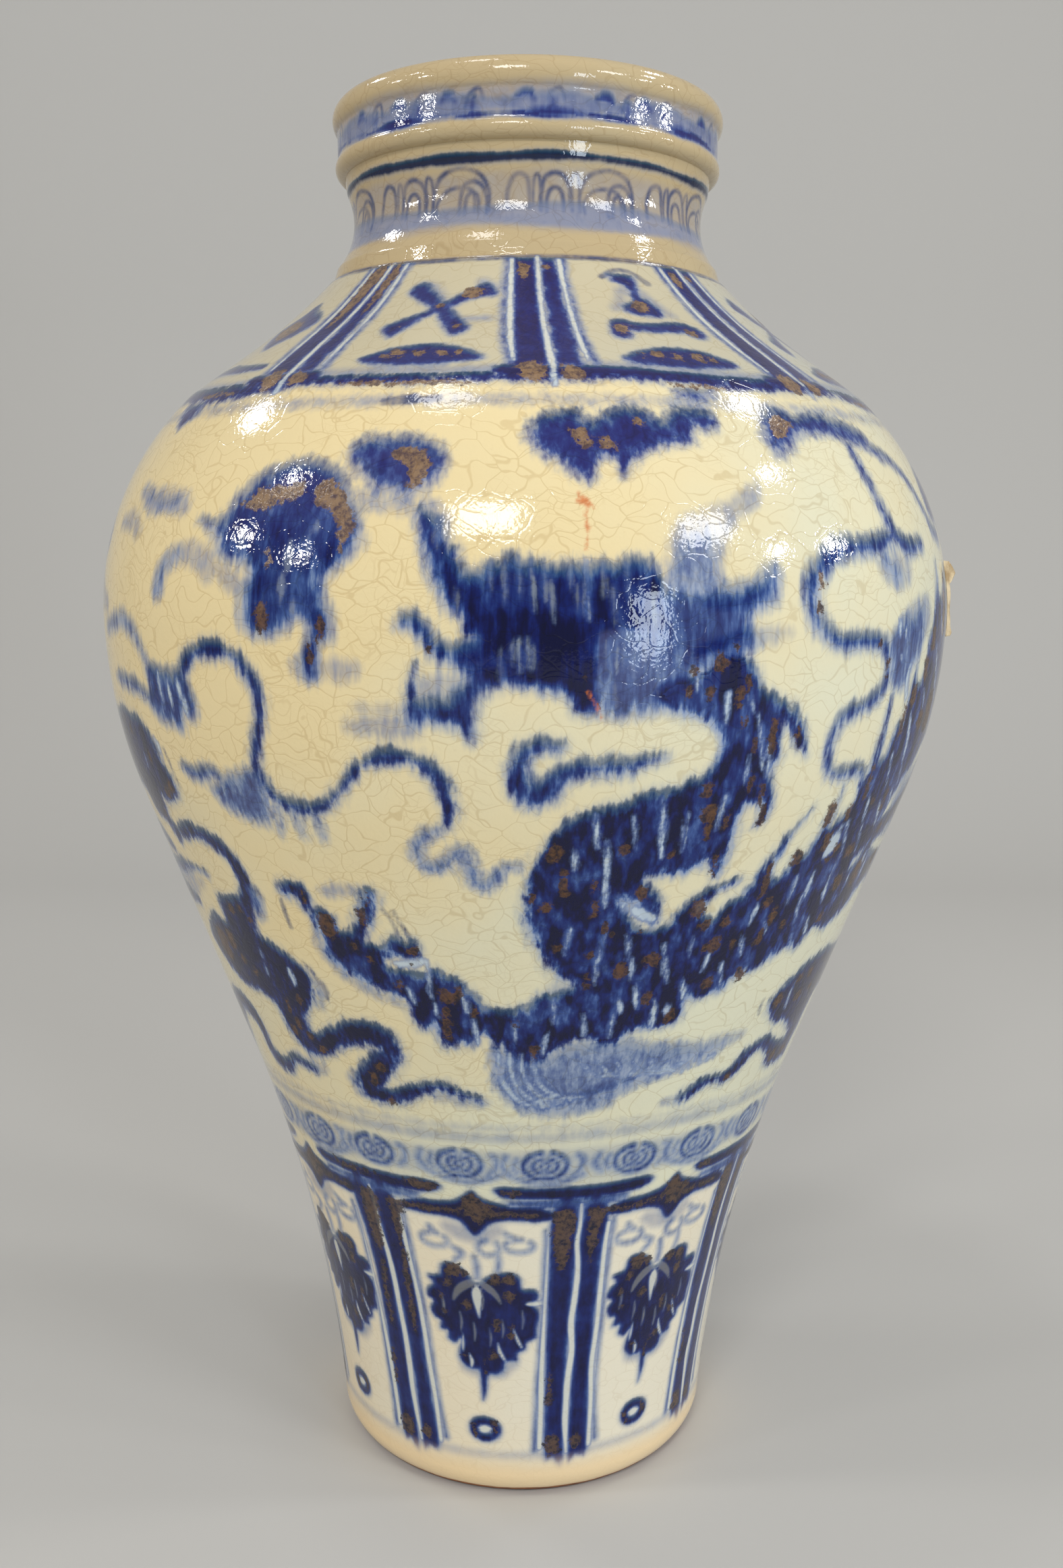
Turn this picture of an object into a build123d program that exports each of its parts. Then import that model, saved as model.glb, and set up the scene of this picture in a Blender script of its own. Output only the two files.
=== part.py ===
"""Meiping vase in crackle-glazed stoneware, thrown in five sections and luted with slip.

The vase stands on its foot ring. Z is its axis, Z = 0 is where it stands, and the
front of the painting faces -Y. Every outline is drawn in the XZ plane, with X as the
radius and Z as the height, and turned about the axis. All sizes are in millimetres.
"""
import os

from build123d import *

# Whole vase
HEIGHT = 500.0
BELLY_RADIUS = 154.5
BELLY_HEIGHT = 321.5

# Foot
FOOT_RADIUS = 72.4
FOOT_CONTACT_RADIUS = 67.0
FOOT_RING_BORE = 57.5
HEEL_HEIGHT = 10.0
RECESS_DEPTH = 6.0
RECESS_SLANT = 2.5
FLOOR_TOP = 15.0
FLOOR_CORNER = 12.0

# Walls and the slip between the sections
FOOT_WALL = 9.0
WALL = 6.5
SLIP = 1.0

# Heights and radii of the joints between the thrown sections
WAIST_HEIGHT = 235.0
WAIST_RADIUS = 133.9
RIDGE_HEIGHT = 396.0
RIDGE_RADIUS = 122.9
SHOULDER_TOP = 437.0
SHOULDER_TOP_RADIUS = 72.8
NECK_SEAT = SHOULDER_TOP + SLIP
NECK_SEAT_BORE = 59.0
MOUTH_JOINT = 470.0
MOUTH_SEAT = MOUTH_JOINT + SLIP

# Neck
COLLAR_RADIUS = 70.4
COLLAR_HEIGHT = 5.0
COLLAR_DRAFT = 1.2
NECK_RADIUS = 63.0
NECK_WAIST_HEIGHT = 457.5
NECK_TOP_RADIUS = 65.2
NECK_BORE = 57.0

# Mouth
THROAT_RADIUS = 57.6
FLANGE_RADIUS = 69.2
FLANGE_BOTTOM = 474.5
FLANGE_TOP = 480.5
BAND_RADIUS = 68.4
BAND_TOP = 490.0
LIP_RADIUS = 70.0
LIP_HEIGHT = 495.5
LIP_CREST_RADIUS = 65.8
DISH_RADIUS = 62.0
DISH_FLOOR = 480.0

# Body curve: the flare runs straight between these two heights, then swells to the belly
FLARE_SLOPE = 0.376
FLARE_TOP = 165.0
SWELL_HEIGHT = 258.6

# Shoulder: straight under the ridge, then hollowed towards the neck
HOLLOW_HEIGHT = 412.0
HOLLOW_RADIUS = 101.2

# Blank paper label left on the belly
LABEL_START = 66.0
LABEL_ANGLE = 7.0
LABEL_BOTTOM = 315.0
LABEL_HEIGHT = 27.0
LABEL_THICKNESS = 0.5
FLAP_LENGTH = 7.0
FLAP_TILT = 28.0


def flare_point(height):
    """Point at this height on the straight stretch of the flare."""
    return Vector(WAIST_RADIUS + FLARE_SLOPE * (height - WAIST_HEIGHT), height)


def inner_point(outside, position, wall=WALL):
    """Point one wall thickness in from a place on the outside, square to it."""
    along = outside % position
    square = Vector(-along.Y, along.X) if along.Y > 0 else Vector(along.Y, -along.X)
    return outside @ position + wall * square


def above_seam(outside):
    """Point where the next section starts, one thickness of slip past an outline's end."""
    return outside @ 1 + SLIP * (outside % 1)


def rolled(start, middle, end, chords):
    """Round edge through three points, turned as a few narrow straight bands."""
    arc = ThreePointArc(start, middle, end, mode=Mode.PRIVATE)
    return Polyline(*[arc @ (step / chords) for step in range(chords + 1)])


# Lower body: trimmed foot ring, floor, and the long flare up to the waist joint
with BuildPart() as lower_body:
    with BuildSketch(Plane.XZ):
        with BuildLine():
            heel = rolled(
                (FOOT_CONTACT_RADIUS, 0),
                (FOOT_RADIUS - 1.6, 0.4 * HEEL_HEIGHT),
                (FOOT_RADIUS, HEEL_HEIGHT),
                chords=4,
            )
            rise = Line(flare_point(FLARE_TOP), flare_point(WAIST_HEIGHT))
            flare = TangentArc(rise @ 0, heel @ 1, tangent=-(rise % 0))
            corner = Vector(FOOT_RADIUS - FOOT_WALL, FLOOR_TOP + FLOOR_CORNER)
            Polyline(
                rise @ 1,
                inner_point(rise, 1),
                inner_point(rise, 0),
                inner_point(flare, 0.5),
                corner,
            )
            cove = rolled(
                corner,
                corner + Vector(-0.29 * FLOOR_CORNER, -0.71 * FLOOR_CORNER),
                corner + Vector(-FLOOR_CORNER, -FLOOR_CORNER),
                chords=3,
            )
            Polyline(
                cove @ 1,
                (0, FLOOR_TOP),
                (0, RECESS_DEPTH),
                (FOOT_RING_BORE - RECESS_SLANT, RECESS_DEPTH),
                (FOOT_RING_BORE, 0),
                heel @ 0,
            )
        make_face()
    revolve(axis=Axis.Z)
lower_body.part.label = "lower_body"

# Upper body: the full belly, from the waist joint to the ridge under the shoulder
with BuildPart() as upper_body:
    with BuildSketch(Plane.XZ):
        with BuildLine():
            start = Line(above_seam(rise), flare_point(SWELL_HEIGHT))
            swell = TangentArc(start @ 1, (BELLY_RADIUS, BELLY_HEIGHT), tangent=start % 1)
            belly = TangentArc(swell @ 1, (RIDGE_RADIUS, RIDGE_HEIGHT), tangent=(0, 1))
            Polyline(
                belly @ 1,
                *[inner_point(belly, 1 - step / 4) for step in range(5)],
                inner_point(swell, 0.3),
                inner_point(start, 0),
                start @ 0,
            )
        make_face()
    revolve(axis=Axis.Z)
upper_body.part.label = "upper_body"

# Shoulder: the sloping cap between the ridge and the seat of the neck
with BuildPart() as shoulder:
    with BuildSketch(Plane.XZ):
        with BuildLine():
            slope = Line(above_seam(belly), (HOLLOW_RADIUS, HOLLOW_HEIGHT))
            hollow = TangentArc(
                slope @ 1, (SHOULDER_TOP_RADIUS, SHOULDER_TOP), tangent=slope % 1
            )
            Polyline(
                hollow @ 1,
                (NECK_SEAT_BORE, SHOULDER_TOP),
                inner_point(hollow, 0.3),
                above_seam(belly) + inner_point(belly, 1) - belly @ 1,
                slope @ 0,
            )
        make_face()
    revolve(axis=Axis.Z)
shoulder.part.label = "shoulder"

# Neck: stepped collar, concave waist and a straight bore
with BuildPart() as neck:
    with BuildSketch(Plane.XZ):
        with BuildLine():
            collar = Line(
                (COLLAR_RADIUS, NECK_SEAT), (COLLAR_RADIUS - COLLAR_DRAFT, NECK_SEAT + COLLAR_HEIGHT)
            )
            waist = rolled(
                collar @ 1,
                (NECK_RADIUS, NECK_WAIST_HEIGHT),
                (NECK_TOP_RADIUS, MOUTH_JOINT),
                chords=9,
            )
            Polyline(waist @ 1, (NECK_BORE, MOUTH_JOINT), (NECK_BORE, NECK_SEAT), collar @ 0)
        make_face()
    revolve(axis=Axis.Z)
neck.part.label = "neck"

# Mouth: quarter-round flange, plain band and rolled lip around a shallow dish
with BuildPart() as mouth:
    with BuildSketch(Plane.XZ):
        with BuildLine():
            stem = Line((NECK_TOP_RADIUS, MOUTH_SEAT), (NECK_TOP_RADIUS + 0.7, FLANGE_BOTTOM))
            flange = rolled(
                stem @ 1,
                (FLANGE_RADIUS, FLANGE_BOTTOM + 2.8),
                (BAND_RADIUS, FLANGE_TOP),
                chords=5,
            )
            band = Line(flange @ 1, (BAND_RADIUS, BAND_TOP))
            lip = rolled(band @ 1, (LIP_RADIUS, LIP_HEIGHT), (LIP_CREST_RADIUS, HEIGHT), chords=6)
            inner_lip = rolled(
                lip @ 1,
                (DISH_RADIUS + 0.9, HEIGHT - 1.6),
                (DISH_RADIUS, HEIGHT - 5),
                chords=3,
            )
            Polyline(
                inner_lip @ 1, (DISH_RADIUS, DISH_FLOOR), (THROAT_RADIUS, MOUTH_SEAT), stem @ 0
            )
        make_face()
    revolve(axis=Axis.Z)
mouth.part.label = "mouth"

# Slip seams of the two joints that are cut square to the wall
seams = {}
for name, outside in (("waist_slip", rise), ("ridge_slip", belly)):
    with BuildPart() as seam:
        with BuildSketch(Plane.XZ):
            with BuildLine():
                across = inner_point(outside, 1) - outside @ 1
                above = above_seam(outside)
                Polyline(outside @ 1, above, above + across, inner_point(outside, 1), close=True)
            make_face()
        revolve(axis=Axis.Z)
    seams[name] = seam.part

# Slip seams of the two level joints, under the neck and under the mouth
level_joints = (
    ("neck_slip", SHOULDER_TOP, NECK_SEAT_BORE, SHOULDER_TOP_RADIUS - 1),
    ("mouth_slip", MOUTH_JOINT, THROAT_RADIUS, NECK_TOP_RADIUS),
)
for name, height, inside, outside in level_joints:
    with BuildPart() as seam:
        with BuildSketch(Plane.XY.offset(height)):
            Circle(outside)
            Circle(inside, mode=Mode.SUBTRACT)
        extrude(amount=SLIP)
    seams[name] = seam.part
for name, seam_part in seams.items():
    seam_part.label = name

# Paper label: a stuck strip that follows the belly, and a flap that stands off it
with BuildPart() as paper_label:
    with BuildSketch(Plane.XY.offset(LABEL_BOTTOM)):
        with BuildLine():
            stuck = CenterArc((0, 0), BELLY_RADIUS + LABEL_THICKNESS / 2, LABEL_START - 90, LABEL_ANGLE)
            leave = (stuck % 1).rotate(Axis.Z, -FLAP_TILT)
            Line(stuck @ 1, stuck @ 1 + FLAP_LENGTH * leave)
        trace(line_width=LABEL_THICKNESS)
    extrude(amount=LABEL_HEIGHT)
    add(upper_body.part, mode=Mode.SUBTRACT)
paper_label.part.label = "paper_label"

pieces = [section.part for section in (lower_body, upper_body, shoulder, neck, mouth, paper_label)]
os.makedirs("parts", exist_ok=True)
for piece in pieces + list(seams.values()):
    export_step(piece, f"parts/{piece.label}.step")
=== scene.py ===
"""Meiping vase: six glazed pieces, with their cobalt painting, a paper label and a studio.

Sizes are in millimetres and become metres only when a mesh is made. The vase stands on its
foot ring, Z is its axis, and the front of the painting faces -Y. A place on the painting is
given as a turn in degrees round the axis (0 at the front, growing towards +X) and a height.
"""
import math

import bpy
import numpy as np
from mathutils import Matrix, Vector


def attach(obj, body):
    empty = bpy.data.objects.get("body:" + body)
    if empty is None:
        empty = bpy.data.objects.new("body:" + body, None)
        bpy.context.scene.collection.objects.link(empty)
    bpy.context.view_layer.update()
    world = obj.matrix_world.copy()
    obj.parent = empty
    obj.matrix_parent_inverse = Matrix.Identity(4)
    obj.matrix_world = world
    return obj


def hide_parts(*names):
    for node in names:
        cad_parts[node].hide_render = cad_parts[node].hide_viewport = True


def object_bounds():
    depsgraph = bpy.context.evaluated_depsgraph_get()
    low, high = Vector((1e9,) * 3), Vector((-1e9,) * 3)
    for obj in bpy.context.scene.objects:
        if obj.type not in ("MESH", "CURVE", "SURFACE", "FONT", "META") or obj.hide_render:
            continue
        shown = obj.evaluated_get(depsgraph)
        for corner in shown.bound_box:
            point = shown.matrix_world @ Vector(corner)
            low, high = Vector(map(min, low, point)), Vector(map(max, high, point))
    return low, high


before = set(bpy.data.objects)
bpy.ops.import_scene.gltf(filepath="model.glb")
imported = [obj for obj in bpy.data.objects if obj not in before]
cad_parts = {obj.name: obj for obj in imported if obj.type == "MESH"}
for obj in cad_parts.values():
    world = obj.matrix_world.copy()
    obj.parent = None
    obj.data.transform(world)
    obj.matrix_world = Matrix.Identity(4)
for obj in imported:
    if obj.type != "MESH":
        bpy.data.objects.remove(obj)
cad_low, cad_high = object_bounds()

# The CAD wall is faceted, so the dressed outline is drawn in by the same hair
BELLY_RADIUS = 154.5
SNUG = min(cad_high.x, cad_high.y, -cad_low.x, -cad_low.y) * 1000 / BELLY_RADIUS

# Columns round the wall, and how strongly they crowd towards the front
COLUMNS = 576
FRONT_CROWDING = 0.40

# How far a mark is felt on the wall, and the least half width of a stroke
REACH = 9.0
THINNEST_STROKE = 0.15

# ---------------------------------------------------------------- outlines


def line(start, end, step=1.35):
    """Evenly spaced points from start to end: start + t (end - start)."""
    a, b = np.array(start, float), np.array(end, float)
    count = max(1, math.ceil(np.linalg.norm(b - a) / step))
    return a + np.linspace(0, 1, count + 1)[:, None] * (b - a)


def leaving(start, tangent, end, step=1.35):
    """Arc from start to end that leaves start along the tangent.

    The centre is start + R n, with n square to the tangent and R = d.d / (2 d.n).
    """
    a, b, t = (np.array(v, float) for v in (start, end, tangent))
    t = t / np.linalg.norm(t)
    n = np.array([-t[1], t[0]])
    d = b - a
    radius = d @ d / (2 * (d @ n))
    centre = a + radius * n
    first = math.atan2(*(a - centre)[::-1])
    sweep = (math.atan2(*(b - centre)[::-1]) - first) % (2 * math.pi)
    if radius < 0:
        sweep -= 2 * math.pi
    count = max(2, math.ceil(abs(radius * sweep) / step))
    angle = first + np.linspace(0, sweep, count + 1)
    return centre + abs(radius) * np.stack([np.cos(angle), np.sin(angle)], axis=1)


def through(start, middle, end, step=0.8):
    """Arc through three points. It leaves start along the chord turned back by the bend."""
    a, m, b = (np.array(v, float) for v in (start, middle, end))
    u, v = m - a, b - m
    bend = math.atan2(u[0] * v[1] - u[1] * v[0], u @ v)
    heading = math.atan2(*(b - a)[::-1]) - bend
    return leaving(a, (math.cos(heading), math.sin(heading)), b, step)


def joined(*runs):
    """Runs of points end to end, with the shared points kept once."""
    kept = [runs[0]] + [run[1:] for run in runs[1:]]
    return np.concatenate(kept)


def chain(start, *legs):
    """Straight runs end to end, each given as the place where it ends and its step."""
    runs = []
    for end, step in legs:
        runs.append(line(start, end, step))
        start = end
    return joined(*runs)


# Places on the outside of the vase, as (radius, height)
FLARE_SLOPE = 0.376
BORE_EDGE = (57.5, 0)
FOOT_EDGE = (67, 0)
HEEL = (72.4, 10)
WAIST = (133.9, 235.0)
FLARE_TOP = (WAIST[0] - FLARE_SLOPE * 70, 165.0)
SWELL = (WAIST[0] + FLARE_SLOPE * 23.6, 258.6)
BELLY = (BELLY_RADIUS, 321.5)
RIDGE = (122.9, 396.0)
SLOPE_START = (122.2, 396.7)
HOLLOW_START = (101.2, 412.0)
SHOULDER_TOP = (72.8, 437.0)
COLLAR_FOOT = (71.6, 437)
COLLAR_TOP = (69.2, 443)
NECK_TOP = (65.2, 470)
FLANGE_START = (65.9, 474.5)
BAND_START = (68.4, 480.5)
LIP_START = (68.4, 490)
LIP_CREST = (65.8, 499.9)
DISH_EDGE = (62, 495)

# The skirt is a piece of its own up to this height
SPLIT_HEIGHT = 121.0

heel = through(FOOT_EDGE, (70.8, 4), HEEL)
flare = leaving(FLARE_TOP, (-FLARE_SLOPE, -1.0), HEEL)[::-1]
split = int(np.searchsorted(flare[:, 1], SPLIT_HEIGHT))
rise = line(FLARE_TOP, WAIST)
swell = leaving(SWELL, (FLARE_SLOPE, 1.0), BELLY, 1.3)
belly = leaving(BELLY, (0, 1), RIDGE, 1.2)
slope = line(SLOPE_START, HOLLOW_START, 0.9)
hollow = leaving(HOLLOW_START, (-21.0, 15.3), SHOULDER_TOP, 0.9)
neck_waist = through(COLLAR_TOP, (63, 457.5), NECK_TOP, 0.7)
flange = through(FLANGE_START, (69.2, 477.3), BAND_START, 0.6)
lip = through(LIP_START, (70, 495.5), LIP_CREST, 0.6)

skirt_outside = joined(line(BORE_EDGE, FOOT_EDGE, 2), heel, flare[: split + 1])
flare_outside = joined(flare[split:], rise)
belly_outside = joined(line(WAIST, SWELL), swell, belly)
shoulder_outside = joined(line(RIDGE, SLOPE_START), slope, hollow)
collar = chain(
    COLLAR_FOOT, ((71.8, 437.4), 0.5), ((71.4, 438), 0.4), ((70.6, 438.2), 0.4), (COLLAR_TOP, 0.8)
)
neck_outside = joined(collar, neck_waist)
mouth_outside = joined(
    line(NECK_TOP, FLANGE_START, 0.7),
    flange,
    line(BAND_START, LIP_START, 0.8),
    lip,
    through(LIP_CREST, (62.9, 498.4), DISH_EDGE, 0.8),
)

# Whole painted outline, as height -> radius and height -> distance along the wall
wall = joined(heel, flare, rise, line(WAIST, SWELL), swell, belly, slope, hollow)
wall = np.concatenate([wall, neck_waist, flange, line((68.4, 480.6), LIP_START), lip])
wall_height = np.maximum.accumulate(wall[:, 1] + np.arange(len(wall)) * 1e-6)
wall_radius = wall[:, 0]
wall_length = np.concatenate([[0], np.cumsum(np.hypot(*np.diff(wall, axis=0).T))])

# ---------------------------------------------------------------- brushwork


def smooth(points, closed=False, steps=5):
    """Catmull-Rom curve through the points: each span is the cubic of its four neighbours."""
    p = np.array(points, float)
    if closed:
        before, after, later = np.roll(p, 1, 0), np.roll(p, -1, 0), np.roll(p, -2, 0)
        start = p
    else:
        ends = np.concatenate([p[:1], p, p[-1:]])
        before, start, after, later = ends[:-3], ends[1:-2], ends[2:-1], ends[3:]
    t = (np.arange(steps) / steps)[None, :, None]
    b, s, a, c = (v[:, None, :] for v in (before, start, after, later))
    curve = 0.5 * (
        2 * s + (a - b) * t + (2 * b - 5 * s + 4 * a - c) * t**2 + (3 * s - b - 3 * a + c) * t**3
    )
    curve = curve.reshape(-1, p.shape[1])
    return curve if closed else np.concatenate([curve, p[-1:]])


def oval(centre, height, wide, tall, brush, angles):
    """Places on an oval: (centre + wide sin a, height + tall cos a) for each angle a."""
    return [(centre + wide * math.sin(a), height + tall * math.cos(a), brush) for a in angles]


class Paint:
    """One paint, with its marks in the order in which the brush laid them.

    depth is how thick a mark lies, from 0 to 1. turned_by turns every mark round the axis by
    some degrees while a figure that repeats is drawn.
    """

    turned_by = 0.0

    def __init__(self, field):
        self.field = field
        self.marks = []

    def keep(self, path, closed, depth):
        """Turn a mark round the axis with the figure it belongs to, and keep it."""
        path[:, 0] += Paint.turned_by
        self.marks.append((path, closed, depth))

    def stroke(self, *points, depth=0.9):
        """Brush stroke through (turn, height, half width) places."""
        path = smooth(points)
        path[:, 2] = np.maximum(path[:, 2], THINNEST_STROKE)
        self.keep(path, False, depth)

    def patch(self, *points, depth=0.9, steps=4):
        """Filled shape with its edge through (turn, height) places."""
        self.keep(smooth(points, closed=True, steps=steps), True, depth)

    def spot(self, at, height, wide, tall=None, depth=0.9):
        """Small oval mark, wide and tall as half sizes in millimetres."""
        run = max((tall or wide) - wide, 0.01)
        self.stroke((at, height - run, wide), (at, height + run, wide), depth=depth)

    def spots(self, *places, depth=0.9):
        """Several spots of one depth."""
        for place_of_spot in places:
            self.spot(*place_of_spot, depth=depth)


PAINTS = [Paint(field) for field in ("cobalt", "wash", "line", "rust", "reserve", "scorch")]
cobalt, wash, linework, rust, bare, scorch = PAINTS


def slit(at, height, tall, lean=0.0, wide=0.7, depth=1.0):
    """Sliver of bare glaze left between two scales, pointed at both ends."""
    bare.stroke(
        (at - lean / 2, height + tall / 2, wide * 0.4), (at, height, wide),
        (at + lean / 2, height - tall / 2, wide * 0.3), depth=depth,
    )


def slits(*places):
    """Several slits between dark scales."""
    for place_of_slit in places:
        slit(*place_of_slit)


def at_turn(turn, draw, *given):
    """Draw something turned round the axis by some degrees."""
    Paint.turned_by = turn
    draw(*given)
    Paint.turned_by = 0.0


def dragon_head():
    """Long-snouted head with the mouth open to the left, a horn and a mane streaming right."""
    cobalt.patch(
        (-11.4, 355.4), (-10.2, 354.4), (-8.6, 351.4), (-7.6, 345), (-6.4, 341), (-5.4, 339),
        (-4.7, 340), (-3.6, 341.4), (-2.4, 340.6), (-1.2, 342.8), (0.2, 341.6), (1.4, 342.2),
        (3, 340.4), (5, 341), (6.6, 340.8), (8.2, 341.6), (10, 341), (11.5, 342.4), (13.4, 342),
        (14.4, 338), (15.6, 334), (16.4, 328), (16.4, 322), (13, 318), (9.8, 317), (9, 308),
        (8.6, 301), (7.6, 298.6), (6.2, 299.4), (5, 303), (3.2, 305.4), (0, 307), (-2.4, 307.6),
        (-4, 305.4), (-5, 302.6), (-5.3, 296), (-5.6, 291.6), (-6.8, 294.6), (-8.6, 296),
        (-11.8, 296), (-12.5, 299), (-12.1, 302.8), (-10.4, 303), (-8.8, 302.6), (-7.4, 304.6),
        (-6, 308.6), (-6.8, 311.8), (-9.2, 314.6), (-10.2, 317.4), (-10.8, 320.4), (-11.8, 322),
        (-13.2, 323.4), (-13, 326.4), (-11.6, 327.4), (-10.3, 325), (-9.2, 320.6), (-7.6, 318.8),
        (-6.2, 319.6), (-5.3, 321.4), (-6.2, 325), (-7.6, 328), (-8.8, 332), (-9.6, 336),
        (-10.2, 341.4), (-11, 348), depth=0.68, steps=3,
    )
    wash.patch((-12, 355), (-11.8, 358.6), (-9.6, 358), (-8, 353), (-8.6, 350))
    cobalt.patch(
        (7.6, 324), (12, 325), (16.6, 325), (17.6, 316), (18.4, 306), (16.6, 300), (12, 298.6),
        (8, 299.4), (7, 306), (7, 316), depth=0.46,
    )
    cobalt.spots(
        (-7.6, 338, 1.6, 8), (-5.2, 328, 3, 7), (-2.4, 322, 4, 7), (0, 324, 3, 6),
        (2.8, 318, 5, 11), (5.8, 316, 5, 12), (0.6, 309.4, 3, 2.4), (-2.8, 310, 3, 3),
        (6.4, 303, 3, 4), (-7.6, 298.6, 3, 2.4), (8, 332, 2.4, 7), (3.8, 334, 1.6, 6),
        (1.6, 335, 1.2, 7), (-2.8, 333, 1.2, 8), (11.6, 328, 2, 5), (-8.4, 316.6, 1.4, 1.6),
        (14.2, 333, 1.6, 5), depth=0.94,
    )
    for at, height, tall, share in (
        (-3.4, 337, 7, 0.3), (-1.9, 335, 9, 0.25), (-0.4, 337, 9, 0.3), (1, 335, 12, 0.34),
        (2.2, 336, 8, 0.26), (3, 331, 9, 0.3), (4.9, 338, 6, 0.24), (5.7, 331, 7, 0.2),
        (8.4, 337, 7, 0.25), (9.6, 330, 8, 0.3), (11, 336, 8, 0.3), (12.4, 331, 8, 0.26),
        (-9.2, 349, 6, 0.25), (-6.9, 331, 5, 0.2), (10.4, 324, 6, 0.3), (13.8, 327, 7, 0.3),
        (-2.2, 312, 9, 0.2), (11.6, 312, 8, 0.24), (14.4, 306, 7, 0.2), (9.6, 305, 6, 0.2),
    ):
        slit(at, height, tall + 2, 0.2, wide=0.65, depth=share)
    bare.stroke((6.6, 342, 0.6), (6.6, 335, 0.7), (6.7, 326, 0.4), depth=0.55)
    for at, height, tall, share in (
        (-1.1, 316.4, 6, 0.3), (-0.3, 316, 9, 0.42), (0.5, 316.6, 8, 0.4), (1.2, 315.4, 6, 0.3),
        (8.9, 315.6, 8, 0.3), (9.8, 316, 10, 0.36), (10.7, 316.4, 9, 0.3), (11.7, 315.6, 10, 0.36),
        (12.8, 316, 8, 0.3),
    ):
        slit(at, height, tall, 0.1, wide=0.55, depth=share)
    wash.patch(
        (15, 333), (15.2, 341), (16.2, 350), (18.2, 355), (21.6, 357), (24.6, 361), (27.4, 364.4),
        (27.6, 359.6), (24.4, 354), (22.6, 348), (21.6, 341), (21.6, 334), depth=0.86,
    )
    cobalt.patch(
        (15.4, 334), (16.4, 343), (19, 350), (21, 348), (20.8, 340), (20.4, 333), depth=0.26,
    )
    cobalt.patch(
        (13.4, 326), (14.4, 334), (17, 335.4), (20, 335), (23, 335.4), (26, 337.4), (28.4, 341.6),
        (29, 336), (28.4, 331), (26.6, 328), (25, 325.4), (25.8, 321), (25.4, 316.6), (22.4, 313),
        (18, 310), (14, 312), depth=0.5,
    )
    cobalt.stroke(
        (19.6, 330.4, 1.4), (23, 330.4, 2.6), (26.4, 333.4, 2.8), (28.2, 337.8, 1.6), depth=0.64,
    )
    cobalt.stroke((19, 317, 1.8), (22.4, 319.4, 2.4), (24.8, 322.6, 1.6), depth=0.66)
    wash.stroke((25, 322, 2), (28, 321, 2.6), (30, 322, 1.4), depth=0.7)
    cobalt.stroke((-12.1, 300, 1), (-11.7, 306, 0.7), (-11.3, 313, 0.4), depth=0.9)
    wash.patch((-11.6, 303), (-7, 304), (-6, 309), (-8, 310.6), (-11.2, 308))
    wash.stroke((-19, 294.5, 1.8), (-14, 295, 3), (-12, 294.5, 2.5))
    wash.stroke((-18, 300, 1), (-15, 299.4, 1.8), (-12.6, 300, 1.4), depth=0.6)
    rust.spots(
        (21.6, 313.4, 3.0, 2.0), (18.6, 311, 1.6, 1.2), (7.4, 305, 0.4, 4.0), (6.6, 308, 0.3, 2.4),
        (8.2, 302.4, 0.3, 1.6), (23.4, 317.6, 1.4, 1.0), (-9.8, 316.8, 0.6, 1.6),
    )


def dragon_neck():
    """Neck bent back over the shoulder, with horn-like spines down its right side."""
    cobalt.patch(
        (14, 305), (16, 309.5), (19, 311), (22, 316), (24.4, 316), (26, 311), (27, 305.5),
        (29, 302.3), (31, 300.5), (32.8, 296.5), (34, 290.5), (34.9, 283.5), (33.4, 287),
        (31.6, 291), (30.2, 295), (30.4, 290), (30.7, 285), (29.8, 280), (30.6, 275), (31.2, 270),
        (30.6, 264.5), (29.4, 262.5), (29.4, 267), (28.3, 270.5), (27, 266), (26.6, 259),
        (26.3, 251), (25.4, 246), (24.3, 249), (23.4, 252.5), (22.3, 250), (20, 247.5), (17.4, 249),
        (15.6, 248), (16.6, 244), (18, 240), (18.3, 236), (18, 231), (15.6, 233), (14.3, 237),
        (13, 240), (10, 236), (7, 242), (10, 255), (14, 262), (18, 277.5), (20.4, 279), (22, 284),
        (22.3, 290), (20.8, 295.5), (18, 297.5), (15.6, 300), depth=1.0,
    )
    slits(
        (27.6, 290, 17, 1.6), (26.4, 281, 9, 0), (23.9, 268, 11, -0.6), (29.3, 281, 5, 0),
        (22.7, 300, 9, 0), (26, 300, 6, 1.2), (18.9, 308, 4, 0), (28.9, 286, 5, 0.4),
    )
    rust.spots(
        (25, 296, 1.3, 2.6), (29.2, 291, 1.6, 6), (26.8, 288, 1.0, 3), (21.5, 275.5, 2.0, 3),
        (27.1, 277, 1.2, 3.2), (29, 273, 1.2, 4), (29.9, 266, 1.3, 4), (22.3, 268, 3.0, 4),
        (22.5, 263, 1.6, 4), (24.8, 265, 1.6, 2.6), (24.6, 250, 1.2, 4), (18, 305, 1.4, 2),
        (20.6, 305, 1.4, 2), (24.3, 303, 1.6, 3.6), (25.2, 307, 1.2, 3), (32.8, 291, 1.4, 2.6),
    )


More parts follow.
